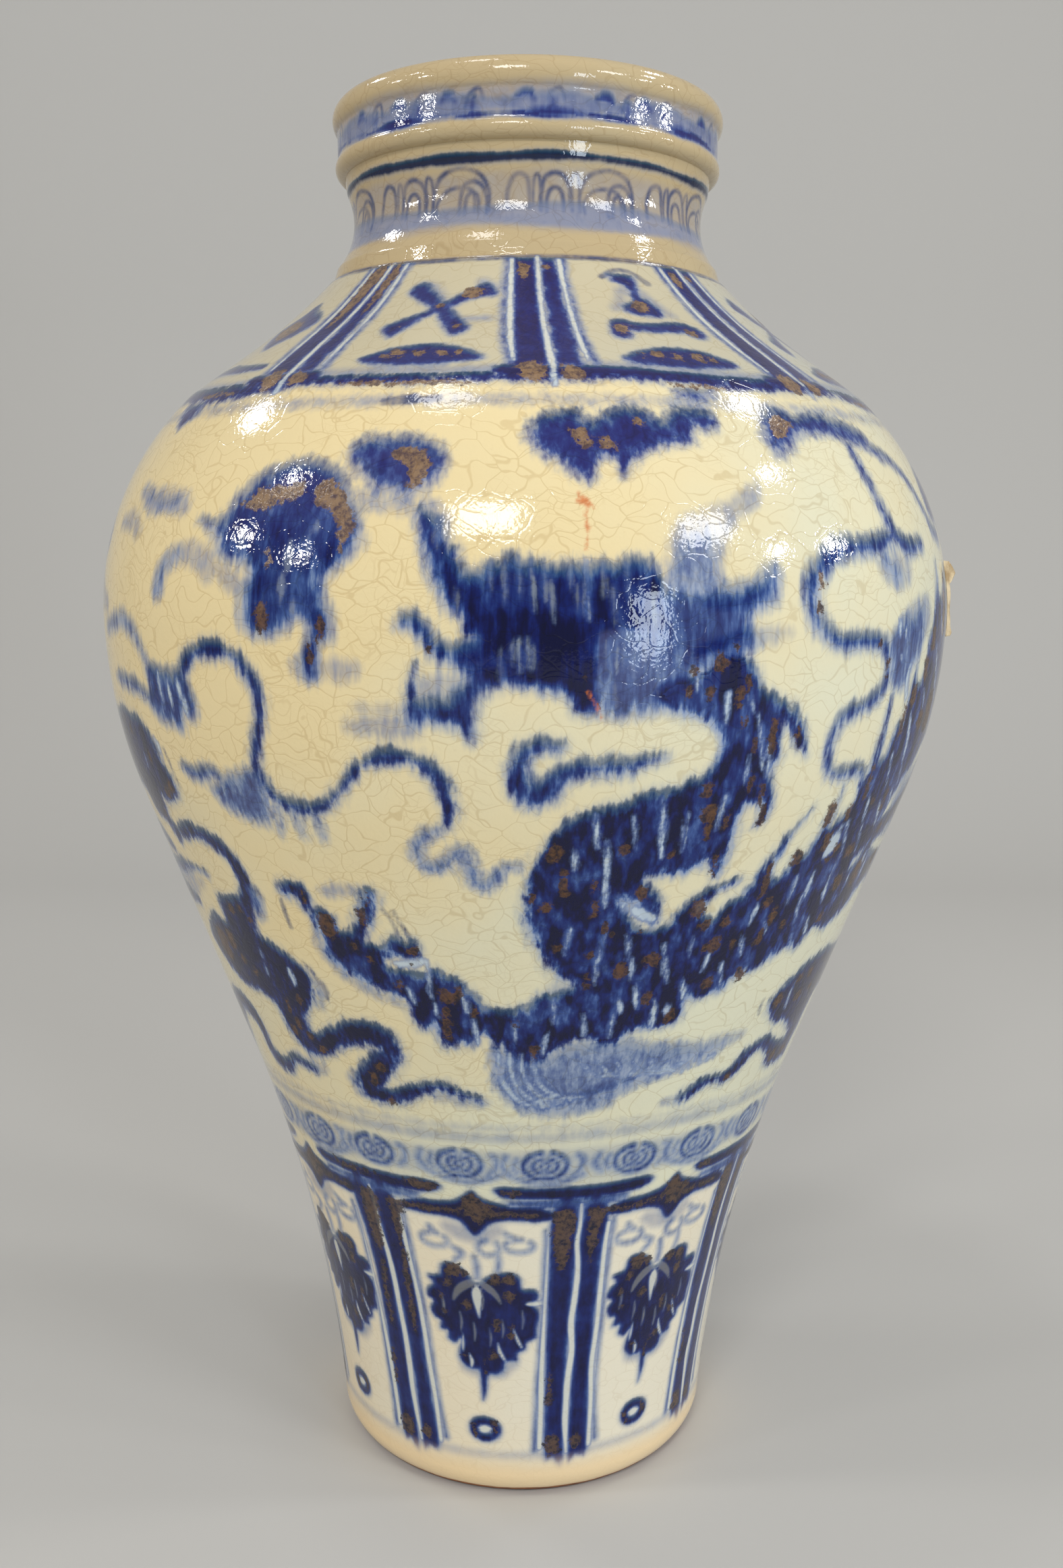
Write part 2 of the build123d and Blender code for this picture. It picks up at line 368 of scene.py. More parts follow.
def dragon_chest():
    """Scaled chest, from the neck down to the curl of the belly."""
    cobalt.patch(
        (20.6, 279), (18.5, 277), (15, 275.5), (12, 273), (9, 271), (6, 268), (3.4, 262.5),
        (1.6, 256), (0.7, 249), (0, 242), (0, 235), (1.2, 228), (2.8, 221.5), (4.6, 215.5),
        (7, 212), (5, 208.5), (3, 208), (1, 204.5), (-1, 203), (-3.4, 201), (-4, 196), (-3.2, 190),
        (-2, 185), (-0.4, 181.5), (1, 180), (2.6, 181.5), (4, 184), (5.4, 187), (7.4, 190),
        (9.4, 191.5), (11, 190), (13, 188.5), (15.6, 188.5), (16.6, 192), (19, 193.4), (21, 192.5),
        (24, 194), (25.6, 197.5), (26, 202), (29, 202.5), (31.6, 203.5), (33, 206), (36, 208),
        (40, 211.5), (43, 215), (45, 215), (44, 225), (38, 236), (35.4, 241), (33.4, 240),
        (31, 238.5), (28.6, 236.5), (26.6, 233), (25, 232.6), (24.6, 237), (27.6, 242.5),
        (29.4, 244.5), (25.6, 243), (22.8, 240), (20.6, 235), (19.4, 231), (16, 231), (13, 240),
        (16, 248), (20, 250), (23, 254), (26, 262), depth=1.0,
    )
    slits(
        (8.7, 264, 10, 0.6), (10.3, 250, 22, 0.6), (13.3, 263, 11, 0.8), (16.6, 264, 19, 0.8),
        (19.6, 262, 12, 0), (6.3, 255, 7, 0.4), (6.1, 227, 9, -0.6), (10.9, 225, 10, -0.6),
        (10.3, 216, 9, 0.2), (14.6, 224, 11, 0.8), (15.5, 216, 8, 0.2), (20.7, 217, 14, 1.6),
        (24.3, 222, 7, 0), (27.3, 216, 7, -0.6), (17, 206, 9, 0.8), (30.9, 210, 9, 1),
        (33.6, 231, 7, -0.4), (33.2, 220, 8, 0.6), (4.7, 202.5, 9, 0.5), (13.8, 196, 9, 0),
        (9.5, 197, 8, 0.4), (-1, 194, 7, 0), (3.6, 190, 8, -0.8), (12.7, 240, 6, 1),
        (24.8, 206, 9, 1.4), (20.4, 198, 12, 0.3), (22.6, 200, 3, 0), (14.7, 203, 5, 0.4),
        (36.9, 225, 5, 1),
    )
    bare.patch(
        (13.3, 240.5), (14.6, 239.5), (16.4, 237), (17.8, 234.5), (17.6, 232.2), (15.8, 233.2),
        (14.4, 236),
    )
    rust.spots(
        (3.9, 257, 2.6, 3.2), (12.2, 258, 1.8, 2.6), (18.4, 255, 1.6, 1.6), (5.2, 247, 1.5, 5),
        (9, 246, 1.4, 3), (1.3, 242, 1.6, 2), (3, 239, 2.4, 2.4), (9.4, 238, 1.6, 3.4),
        (15.2, 243, 2.4, 3), (4.8, 225, 1.6, 1.6), (13.9, 216, 2.6, 3.6), (18.4, 219, 3.2, 2.2),
        (18.8, 205, 2.4, 3), (9.2, 213, 1.4, 2.6), (23.9, 236, 2.8, 4), (28, 222, 2.8, 3.4),
        (31.2, 221.5, 1.6, 1.8), (36.2, 222.5, 1.8, 4), (34, 240, 1.6, 4), (33.9, 246, 1.4, 3.4),
        (23.2, 197, 2.2, 3), (28.6, 208, 2.6, 2.6), (34.5, 209, 3.0, 1.6), (9.4, 222, 1.6, 1.2),
        (25.6, 230, 2.6, 1.2), (29, 230, 2.4, 1.2), (11, 232, 1.6, 2.4), (1.9, 187, 2.0, 3),
        (-1, 198, 1.4, 1.6), (16, 230, 1.2, 1.2), (12, 229.5, 1.0, 1.0), (26.6, 221, 1.8, 2),
    )
    wash.spots(
        (3.4, 235, 1.6, 2.6), (6, 262, 1.2, 2), (11.6, 268, 1.2, 3), (16.2, 226, 1.6, 3),
        (30, 226, 1.4, 2.4), (22, 207, 1.6, 3), (8, 206, 1.6, 3), (6.4, 236, 1.4, 2), depth=0.4,
    )


def dragon_body():
    """Body rising to the right with spines along its back, then round behind the vase."""
    cobalt.patch(
        (30.8, 238), (31.8, 243), (33, 249), (34.6, 255), (36.6, 261), (38.3, 266), (36.8, 260),
        (35.6, 254), (34.9, 249), (34.9, 244.5), (36, 243), (37.4, 246.5), (38, 251.5), (39.6, 250),
        (41, 254), (42, 262), (43, 268), (43.2, 273), (43.2, 265), (43.7, 258.5), (45.4, 262),
        (46.8, 264.5), (47, 269), (46.2, 273), (47.8, 272), (48.2, 279), (49, 288), (49.7, 300),
        (49.9, 288), (50.4, 279), (51.6, 280), (52.3, 286), (52.8, 290), (54.2, 290.5), (54.6, 296),
        (55.2, 303), (56.2, 309.5), (56.8, 303.5), (58.4, 302.5), (59.6, 309), (60.2, 317),
        (61.2, 319), (62, 326), (63, 334), (63.8, 341), (64.4, 330), (66.4, 331), (68.4, 336.5),
        (71, 331), (78, 328), (80, 290), (75, 282), (71, 281), (66.6, 273.5), (63, 268.5),
        (60.4, 262), (58.4, 253), (56.4, 246.5), (54.6, 240), (58, 244), (61, 243), (65, 240.5),
        (72, 240), (80, 240), (80, 226), (72, 226), (66, 229), (63.4, 226), (60, 222), (56, 219),
        (53, 216.5), (50, 220), (48.4, 217.5), (46, 214), (43, 217), (38, 214), (34, 222),
        depth=1.0,
    )
    slits(
        (39.9, 237, 10, 0), (43.6, 238, 9, 0), (43, 229, 10, 0.6), (47.2, 221, 8, 1),
        (48.4, 252, 12, 1.8), (48.6, 242, 8, 0), (48.6, 234, 9, 0.6), (51.2, 263, 9, 1),
        (52.6, 252, 12, 1.6), (54.6, 273, 13, 1.4), (56, 259, 9, 2), (57.2, 289, 9, 1),
        (58.3, 280, 12, 1), (59.4, 271, 8, 1), (61.4, 295, 9, 1.6), (65.8, 306, 15, 3),
        (55.2, 236, 14, -0.8), (60.6, 236, 9, 0), (58.8, 241, 4, 0), (45.2, 253, 9, -1.6),
        (68, 296, 10, 3), (67, 320, 9, 2), (58.9, 263, 7, 1.4),
    )
    bare.patch((44.6, 247), (46.4, 249.5), (46.6, 254), (45.4, 256), (44.4, 252))
    rust.spots(
        (37.6, 229, 2.0, 3.4), (38.4, 249, 2.6, 3.4), (42.4, 263, 2.6, 5), (46.6, 262, 2.0, 3.4),
        (43.8, 253, 2.2, 4), (47.2, 249.5, 2.2, 2.4), (51.4, 247, 3.2, 3.2), (49.4, 272, 1.6, 7),
        (54.4, 290, 2.0, 6), (56.6, 298, 3.0, 4), (60, 307, 2.6, 5), (62.2, 316, 2.8, 5),
        (51.6, 235.5, 3.6, 3), (58, 236, 3.6, 6), (52.6, 264, 1.6, 2), (61.6, 289, 4, 3),
        (66, 291, 5, 8), (56.6, 263, 1.6, 5), (50.6, 223, 2.4, 2.4), (45.6, 246, 1.6, 1.2),
        (35.6, 234.5, 2.4, 1.6), (40.6, 225, 1.6, 2.2), (66, 238, 4, 3),
    )
    wash.patch(
        (62, 266), (61.6, 256), (64, 247), (70, 246), (78, 248), (80, 270), (72, 272), (66, 271),
    )
    cobalt.patch((63, 262), (64, 250), (70, 248), (84, 250), (84, 268), (70, 268), depth=0.3)


def dragon_behind():
    """Rest of the body behind the vase: a long wave that narrows to the tail on the left."""
    body = (
        (70, 303, 24), (80, 306, 25), (92, 303, 25), (106, 292, 24), (120, 276, 22), (136, 262, 20),
        (154, 256, 18), (172, 261, 17), (190, 270, 16), (208, 277, 15), (228, 280, 14),
        (250, 279, 14), (268, 277, 14), (284, 277, 14),
    )
    cobalt.stroke(*body, depth=1.0)
    back = smooth(body, steps=4)
    for number, (at, height, wide) in enumerate(back[3:-4]):
        lean = 1.8 if number % 2 else 1.0
        cobalt.stroke(
            (at, height + wide * 0.7, 3.2), (at - 1.5, height + wide + 3, 2.4),
            (at - 3 * lean, height + wide + 11, 0.4),
        )
        for row in (-0.55, 0.05, 0.6):
            slit(at + 1.3 * row, height + row * wide, 9 + 2 * lean, lean, wide=1.2)
            rust.spot(at + 2.4, height + (row + 0.2) * wide, 1.8, 3.2)
    for number, (at, height, wide) in enumerate(back[2::6]):
        cobalt.stroke(
            (at + 3, height - wide * 0.8, 8), (at - 2, height - wide - 14, 6.5),
            (at - 10, height - wide - 26, 5.5), (at - 19, height - wide - 30, 4.5),
            (at - 24, height - wide - 22, 2.2),
        )
        cobalt.stroke(
            (at - 15, height - wide - 29, 4), (at - 18, height - wide - 42, 2.6),
            (at - 24, height - wide - 46, 1),
        )
        rust.spot(at - 14, height - wide - 28, 2.6, 2.2)
        wash.stroke(
            (at + 2, height - wide - 8, 5), (at + 8, height - wide - 24, 7),
            (at + 18, height - wide - 34, 6), (at + 28, height - wide - 30, 2),
        )


def dragon_foreleg():
    """Left foreleg with its raised claws, and the mane under the chest."""
    cobalt.patch(
        (1, 204.4), (-1.4, 203), (-4, 202.4), (-6, 205.5), (-7.6, 210), (-8.8, 213), (-10.6, 213.6),
        (-12.2, 216.2), (-14, 214.6), (-18, 215.3), (-19.4, 217.6), (-17.6, 219.8), (-14.2, 219.6),
        (-14, 223), (-14.8, 226), (-16.2, 225), (-17.8, 226.8), (-20, 223.6), (-22, 224),
        (-21.4, 228), (-19.9, 233), (-19.1, 238), (-18.9, 242), (-20.6, 243.4), (-21.7, 240),
        (-22.4, 235), (-23.2, 230), (-24.8, 227.4), (-26, 227), (-26.4, 231.5), (-28, 234.2),
        (-29.2, 233), (-29.4, 237), (-30.2, 241), (-32, 242.4), (-33.8, 241), (-34.4, 238),
        (-33.4, 236.4), (-32, 237), (-30.9, 232.5), (-29.6, 226), (-29.3, 219), (-28, 213.6),
        (-25.6, 210), (-22, 207.4), (-19, 205), (-17.3, 202.4), (-17, 198), (-15.2, 194),
        (-13.4, 193.6), (-12.8, 189.6), (-11.2, 187.6), (-9.8, 190), (-8.8, 187.8), (-7.2, 189.4),
        (-6.4, 192.4), (-4.8, 191), (-3.6, 188), depth=1.0,
    )
    bare.stroke((-18.4, 217.4, 0.7), (-16, 217.8, 1.3), (-13.6, 219, 1.4))
    slit(-13.3, 212.5, 13, 0)
    for at, height, tall in (
        (-12.8, 201, 5), (-8.4, 205.5, 8), (-7, 194, 9), (-16.4, 206, 5), (-5.6, 203, 3),
    ):
        slit(at, height, tall, 0.4)
    linework.stroke((-18.5, 236, 0.8), (-17.4, 232, 0.6), (-16.7, 225, 0.5))
    linework.stroke((-17, 236, 0.4), (-15.8, 230, 0.5), (-15.1, 226, 0.5))
    linework.stroke((-34.9, 235, 0.5), (-34.9, 230, 0.7), (-34.6, 225, 0.6))
    wash.stroke((-27, 240.5, 1.6), (-24, 241.8, 2), (-21.5, 242, 1.6))
    wash.stroke((-18, 202, 1), (-26, 209.5, 1.4), (-30, 219, 1.2), (-30, 226, 1))
    rust.spots(
        (-27.8, 228, 3.4, 5), (-21.8, 233, 1.6, 4), (-20.5, 240, 1.2, 2.4), (-24, 222, 1.2, 2),
        (-22, 218, 1.5, 1.8), (-15.2, 222.6, 2.2, 2.4), (-18, 209.4, 2.0, 1.6),
        (-11.5, 197, 1.7, 6.5), (-10.8, 207, 3.4, 2.2), (-9, 209, 2, 1.6), (-7, 201.4, 1.4, 2.2),
        (-30.6, 237, 1.2, 3), (-15.6, 217, 0.8, 0.8),
    )
    wash.patch(
        (-5.2, 187), (-5, 179), (-3.6, 171), (-1.4, 165.5), (1.6, 162.3), (6, 161.2), (11, 162.2),
        (14.6, 163.6), (17, 167.5), (20.5, 171.5), (25, 173.2), (30, 174.6), (34, 178), (40.6, 183),
        (37, 185.6), (31, 185.4), (26, 187), (20, 189), (16, 190.4), (8, 190.6), (3, 190),
    )
    cobalt.patch(
        (-4.4, 188), (-4.6, 179), (-3, 171.4), (-0.8, 166.4), (2, 163.6), (6, 162.6), (10.6, 163.6),
        (14, 165), (17, 169), (21, 173), (25, 175), (30, 176.6), (34, 179.4), (37, 183), (31, 183),
        (26, 184.6), (20, 186.6), (16, 189), (12, 190), (8, 189), (3, 184), (1, 183), depth=0.3,
    )
    wash.patch(
        (1.6, 205), (2.6, 209.4), (4.6, 212.4), (7.4, 212.2), (7.2, 207), (5, 206), depth=0.6,
    )
    for number in range(9):
        start, drop = -4.6 + 0.9 * number, 0.4 * number
        flow = ((start, 186, 0.6), (start + 0.2, 178 + drop, 0.8), (start + 1.6, 171 + drop, 0.9),
                (start + 4.6, 166 + 1.2 * drop, 0.8), (start + 9, 165 + 1.4 * drop, 0.7),
                (start + 13, 168 + 1.2 * drop, 0.6), (start + 17, 173 + 0.6 * drop, 0.4))
        if number % 2 == 0:
            cobalt.stroke(*flow, depth=0.5)
        else:
            bare.stroke(*[(a, z, 0.8 * w) for a, z, w in flow[:5]], depth=0.75)
    for number in range(6):
        start, rise = 9 + 3.2 * number, 2.2 * number
        bare.stroke(
            (start, 184 - 0.4 * rise, 0.3), (start + 2, 179 - 0.4 * rise, 0.5),
            (start + 5, 176 - 0.1 * rise, 0.5), (start + 10, 177 + 0.1 * rise, 0.3), depth=0.75,
        )
        cobalt.stroke(
            (start - 3, 168 + 0.4 * rise, 0.4), (start + 1, 170 + 0.5 * rise, 0.7),
            (start + 5, 173 + 0.4 * rise, 0.7), (start + 10, 176 + 0.3 * rise, 0.4), depth=0.52,
        )


def left_leg():
    """Leg and curling flames at the left, with the tail end above them."""
    cobalt.patch(
        (-80, 290), (-70, 289), (-65, 291), (-60, 290), (-57, 289), (-55, 285.5), (-53.2, 280.5),
        (-52.2, 275), (-50.6, 271.5), (-50.4, 267), (-52, 263), (-54.6, 261.2), (-57, 262),
        (-56.8, 258.6), (-57.6, 255.4), (-56, 252), (-55.4, 248), (-57, 245.6), (-58.4, 248),
        (-59.4, 252), (-62.4, 253), (-64.6, 255.6), (-65, 260), (-70, 262), (-80, 262),
    )
    cobalt.stroke(
        (-57, 249, 2), (-54, 251.3, 2.4), (-50, 252.8, 2.8), (-46, 251, 3), (-43.3, 247, 3.0),
        (-41.9, 241, 3.0), (-42.2, 234, 3.4), (-44, 228, 4),
    )
    cobalt.patch((-42, 239), (-40.4, 237.4), (-39.2, 234), (-39.4, 229.6), (-41.6, 226), depth=0.55)
    cobalt.patch(
        (-62.4, 209), (-60.6, 214), (-57, 219), (-54.4, 221), (-51.6, 219.4), (-51.3, 226),
        (-50.4, 229.6), (-47, 231), (-44, 231.4), (-42.2, 228), (-42.6, 223), (-42.4, 218.6),
        (-40, 216.8), (-37, 213.8), (-35, 210), (-33.6, 204.6), (-34.2, 199), (-36, 194.6),
        (-37.6, 190), (-37.4, 185.4), (-35.4, 183.8), (-36, 178), (-38, 174.4), (-40.4, 174),
        (-42.6, 177.4), (-44.4, 183), (-45.2, 189.6), (-47, 194), (-51, 194.6), (-55, 195.4),
        (-58.4, 198.6), (-60.8, 204),
    )
    cobalt.stroke(
        (-41, 180, 3.4), (-37.6, 179.6, 4.2), (-33.8, 183, 4.2), (-30, 187, 4.4), (-26, 189.4, 4.6),
        (-23, 187.6, 4.8), (-22, 183.4, 4.6), (-23.6, 178.4, 4.6), (-26.4, 172.8, 5),
        (-28.4, 167.6, 4.6), (-26.6, 165, 3.6), (-22, 166, 3), (-18, 169.4, 2.4), (-14, 171.6, 2),
        (-10.6, 169.4, 1.6), (-7.4, 167.6, 1.2),
    )
    wash.stroke((-31, 165, 2), (-30.8, 170, 2), (-29.8, 172.4, 1))
    wash.stroke((-14, 168, 2.2), (-10, 166.8, 2.2), (-6, 167, 1.4))
    linework.stroke((-34.4, 213, 0.5), (-32.4, 207, 0.7), (-31.4, 203.4, 0.8), (-31.6, 200, 0.5))
    wash.stroke((-34, 210, 1.4), (-32.4, 203, 1.8), (-34, 197, 1.6))
    linework.stroke((-50.9, 281, 0.4), (-50, 275, 0.5), (-49.3, 268, 0.4))
    cobalt.stroke(
        (-80, 158, 8), (-72, 166, 8), (-67, 178, 5.4), (-63, 184.2, 4.6), (-59.4, 184.6, 4.2),
        (-56.4, 181, 3.6), (-55.4, 175.6, 2.8), (-55, 170, 3), (-53.2, 166.4, 3.4),
        (-50.4, 164.8, 3.4), (-48, 167.4, 2.4), (-45.6, 169.6, 1.8), (-43, 169.6, 1.5),
        (-40.6, 168.6, 1.1),
    )
    wash.stroke((-44, 172, 1.4), (-41, 170, 2.4), (-37.6, 171, 1.4))
    cobalt.stroke((-80, 241, 2), (-74, 244, 3), (-68, 245, 3.2), (-63.4, 241.6, 1.8), depth=0.8)
    cobalt.stroke(
        (-80, 233, 1.5), (-70, 233, 2.4), (-64, 234.4, 3), (-60, 236.4, 2.6), (-55.6, 237.4, 1.2),
        (-52, 237, 0.8), depth=0.75,
    )
    cobalt.stroke((-80, 224, 5), (-71, 225, 5), (-65, 223.4, 3.6), (-61, 222.6, 1.2), depth=0.9)
    for at, height, tall in ((-38.2, 205.4, 6), (-44.4, 205.4, 4), (-58.6, 275, 5), (-44, 211, 4)):
        wash.spot(at, height, 1.8, tall, depth=0.5)
        slit(at, height, tall, 0, wide=0.8)
    bare.stroke((-53, 284, 0.3), (-51.9, 279, 0.7), (-52, 275.4, 0.3))
    rust.spots(
        (-56.4, 209.4, 4.6, 7), (-52.6, 212.6, 2.8, 4.6), (-51, 206, 2.4, 1.8),
        (-48, 202.4, 2.2, 1.6), (-42.4, 183.4, 2.0, 2.6), (-40.6, 186.6, 1.8, 2.6),
        (-38.2, 197.2, 1.6, 2.2), (-43.6, 224, 1.8, 1.8), (-48, 226, 2.2, 2.4),
        (-45.4, 227.4, 1.6, 1.4), (-62, 284, 2.2, 1.4), (-56.4, 276, 1.8, 2.4),
        (-52.4, 267.4, 2.6, 2.4), (-54, 265, 2.6, 2), (-58.6, 256, 2, 2), (-41.6, 193, 1.4, 3),
        (-26.4, 171.6, 2.0, 3), (-24.6, 176.6, 2.2, 2.4), (-23.8, 163.4, 1.8, 1),
        (-36.6, 178.4, 2.4, 1.4), (-38.6, 182.6, 1.6, 2),
    )


def flaws():
    """Small orange burst above the head with a faint drip under it, and a scratch below."""
    scorch.stroke((6, 360.6, 0.4), (6.5, 359, 0.8), (7.1, 357.6, 0.8), (7.6, 356.6, 0.4))
    scorch.stroke((5.9, 358.4, 0.3), (6.9, 358.2, 0.6))
    scorch.stroke((6.7, 356, 0.15), (6.8, 350, 0.15), (6.6, 345, 0.15))
    for at, height in ((6.9, 306), (7.4, 303.4), (7.9, 300.6)):
        scorch.stroke((at, height, 0.15), (at + 0.5, height - 2.4, 0.3))


def right_leaf():
    """Leaf-shaped flame low on the right and the curling line under it."""
    cobalt.patch(
        (44.6, 192.6), (46.6, 197), (49.6, 201.4), (53, 204), (57, 206), (61, 206.6), (65, 205),
        (70, 203.4), (80, 200), (80, 188), (72, 187), (67, 186), (65.4, 181), (65, 174),
        (63.6, 167), (62.4, 162.4), (59, 162), (55, 163.4), (52, 167), (54.4, 171.6), (57.8, 172),
        (58.4, 176), (56.4, 178), (53, 181.6), (49.6, 183.6), (46.8, 187),
    )
    cobalt.stroke(
        (30.4, 162.4, 2.2), (33, 165.4, 2.3), (36, 167.6, 2), (39, 166.8, 2.1), (41.6, 168.6, 2.8),
        (44.4, 173.6, 3), (47.4, 176, 2.6), (50, 175, 2.6), (53, 171.4, 3.2), (56.4, 168.4, 4),
    )
    wash.stroke((26.6, 162, 1.2), (29, 162.2, 1.6))
    linework.stroke((43, 196, 0.5), (42.8, 193, 0.7), (43.2, 190, 0.4))
    bare.stroke((51.4, 198, 0.5), (51.2, 193, 0.9), (51.6, 188, 0.4))
    wash.spot(59.6, 196, 1.6, 2.4, depth=0.5)
    rust.spots(
        (47.8, 193, 2.6, 3.2), (52.8, 199, 2.4, 1.8), (56.6, 199.6, 2.4, 1.8), (55, 191, 3, 1.6),
        (60, 192, 2.2, 1.4), (40.6, 166.8, 2.0, 1.6), (55, 167.4, 3, 2), (60, 167, 2.6, 2.4),
        (52.6, 170, 1.6, 1.8),
    )


def ribbons():
    """Thin streamers that curl between the clouds and the dragon."""
    cobalt.stroke(
        (-67, 317.6, 1.2), (-62, 320, 2.4), (-58, 321.2, 2.6), (-55, 319, 2), (-53, 314.4, 1.6),
        (-51.4, 309, 1.4), depth=0.42,
    )
    cobalt.stroke(
        (-63.6, 301.4, 0.9), (-58.4, 301, 2), (-54.4, 299.4, 1.5), (-51.6, 296.6, 1.2), depth=0.6,
    )
    cobalt.patch(
        (-51.4, 307.6), (-47, 307.6), (-43.2, 307), (-42, 302), (-41.2, 296.6), (-42.2, 293),
        (-43.6, 294.4), (-44.6, 288.4), (-46.6, 289.4), (-48.6, 290.4), (-51, 293), (-52.4, 297),
        (-51, 301), depth=0.62,
    )
    for at, height, tall in (
        (-48.3, 300.6, 12), (-46.3, 299.6, 10), (-44.2, 302, 7), (-43.3, 296, 6),
    ):
        slit(at, height, tall, 0.4, wide=1.2)
    cobalt.stroke(
        (-43.6, 305, 1.8), (-42.2, 309.6, 2.0), (-40, 313.6, 2.2), (-37, 315.2, 2.2),
        (-34, 313.2, 2.2), (-31.9, 308, 2), (-30.7, 302, 1.9), (-30.9, 294, 1.6), (-32.1, 286, 1.5),
        (-32.7, 280, 1.8), (-31.8, 274, 2), (-30, 269.4, 2.2), (-27.5, 267.8, 2.2), (-25, 268.2, 2),
        (-22.5, 271.4, 1.6), (-20.2, 277.4, 1.5), (-18.2, 282.6, 1.6), (-15, 285.8, 1.9),
        (-11.6, 284.6, 2.1), (-9.2, 279.4, 2.2), (-8.3, 272, 2.2), (-8.6, 266.6, 1.6), depth=0.8,
    )
    cobalt.stroke(
        (-9.6, 264.4, 1), (-12, 260.6, 1.2), (-12.7, 256, 1.2), (-11.6, 252, 1.2),
        (-9.8, 251.6, 1.1), (-8.2, 255, 1.1), (-6.8, 257.4, 1.2), (-6, 253, 1.1), (-5.9, 248, 1.1),
        (-4.6, 246.2, 1.1), (-3.2, 248.8, 1.1), (-2, 252.2, 1.2), (-0.4, 252.4, 1), depth=0.5,
    )
    wash.stroke((-12.6, 259, 1.8), (-11, 252, 2), (-8, 256, 1.8), (-5.6, 248, 2), (-3, 250, 2))
    cobalt.patch(
        (-41.4, 270), (-39, 274), (-36, 277.4), (-33.4, 279), (-31.8, 276), (-31.6, 268),
        (-32, 262), (-34.4, 261.6), (-37.4, 263), (-40, 266), depth=0.45,
    )
    cobalt.stroke(
        (-46.6, 275.6, 1.2), (-43.4, 274.4, 2), (-40.6, 275.8, 1.6), (-38.4, 272, 1.2), depth=0.6,
    )
    cobalt.stroke((-30.6, 268, 1.2), (-30.7, 261, 0.8), depth=0.6)
    for at in (-31.6, -28, -25):
        cobalt.stroke((at - 0.4, 267, 1), (at, 263, 0.9), (at + 0.3, 258.6, 0.5), depth=0.5)
    bare.stroke((-32.2, 270, 0.3), (-31.4, 265.6, 0.8), (-31.4, 262, 0.4))
    cobalt.stroke(
        (4, 289.4, 1.6), (2.2, 290, 2), (0.4, 288, 2.6), (-0.4, 283, 3.4), (0, 278.6, 4),
        (1.2, 275.2, 4.2), (2.6, 276.4, 3.6), (4.2, 281, 2.8), (6, 283, 2.6), (8.6, 283.6, 2.7),
        (11, 283.4, 2.4), (13.4, 284.8, 1.6), (15.6, 286.6, 0.9), depth=0.72,
    )
    cobalt.stroke(
        (50, 350, 2), (46, 346.6, 2.6), (40, 346, 2.8), (36.4, 343, 3), (34, 337, 3.2),
        (33.6, 330, 3), (34.6, 323.4, 2.6), (37, 319, 2.2), (40, 317.6, 2.2), (43, 317.8, 2.2),
        (46, 316.6, 2.2), (47.8, 312.4, 2), (48.1, 306, 2), (46.6, 300.6, 1.8), (43.4, 297.2, 1.8),
        (40.4, 295.4, 2), (38.8, 290.6, 2), (38.5, 284, 1.9), (39.4, 278.4, 1.8),
        (41.6, 275.8, 1.8), (44.6, 276.6, 1.8), (46.6, 275, 1.8), (47.6, 271.4, 1.8), depth=0.66,
    )
    cobalt.stroke(
        (47, 377, 1.6), (47.6, 368, 1.8), (49, 358, 2), (50.6, 350, 2.6), (54, 346, 2.6),
        (58, 347, 2.2), depth=0.7,
    )
    cobalt.stroke(
        (52, 377, 1.4), (57, 374, 1.4), (61, 368, 1.4), (63.4, 360, 1.6), (66, 352, 2),
        (70, 350, 2.2), depth=0.6,
    )
    cobalt.patch(
        (47.6, 318), (47.8, 310), (49.4, 303), (52.6, 301.4), (54.4, 306.6), (56.4, 310),
        (57.6, 318), (57, 326), (54.6, 325), (51, 323), depth=0.42,
    )
    wash.patch((45.6, 341), (47, 335.6), (50, 333), (53.6, 336), (52.8, 342), (49, 346))
    cobalt.stroke((47.2, 344, 1.4), (48.4, 339, 2), (50.4, 337, 1.4), depth=0.4)
    wash.patch((50, 322), (54, 329), (58.6, 331), (60, 324), (57, 316))
    for at, height, tall in ((52, 317.6, 6), (50, 321.6, 5), (51.4, 311, 2)):
        slit(at, height, tall, 0.6)
    bare.stroke((54.2, 310, 0.4), (53.4, 304, 0.9), (54, 298, 0.6))
    rust.spots((35, 336, 1.4, 3), (47.8, 309, 1.4, 4), (34.4, 328, 1.2, 3), (45.6, 316.6, 1.6, 1))


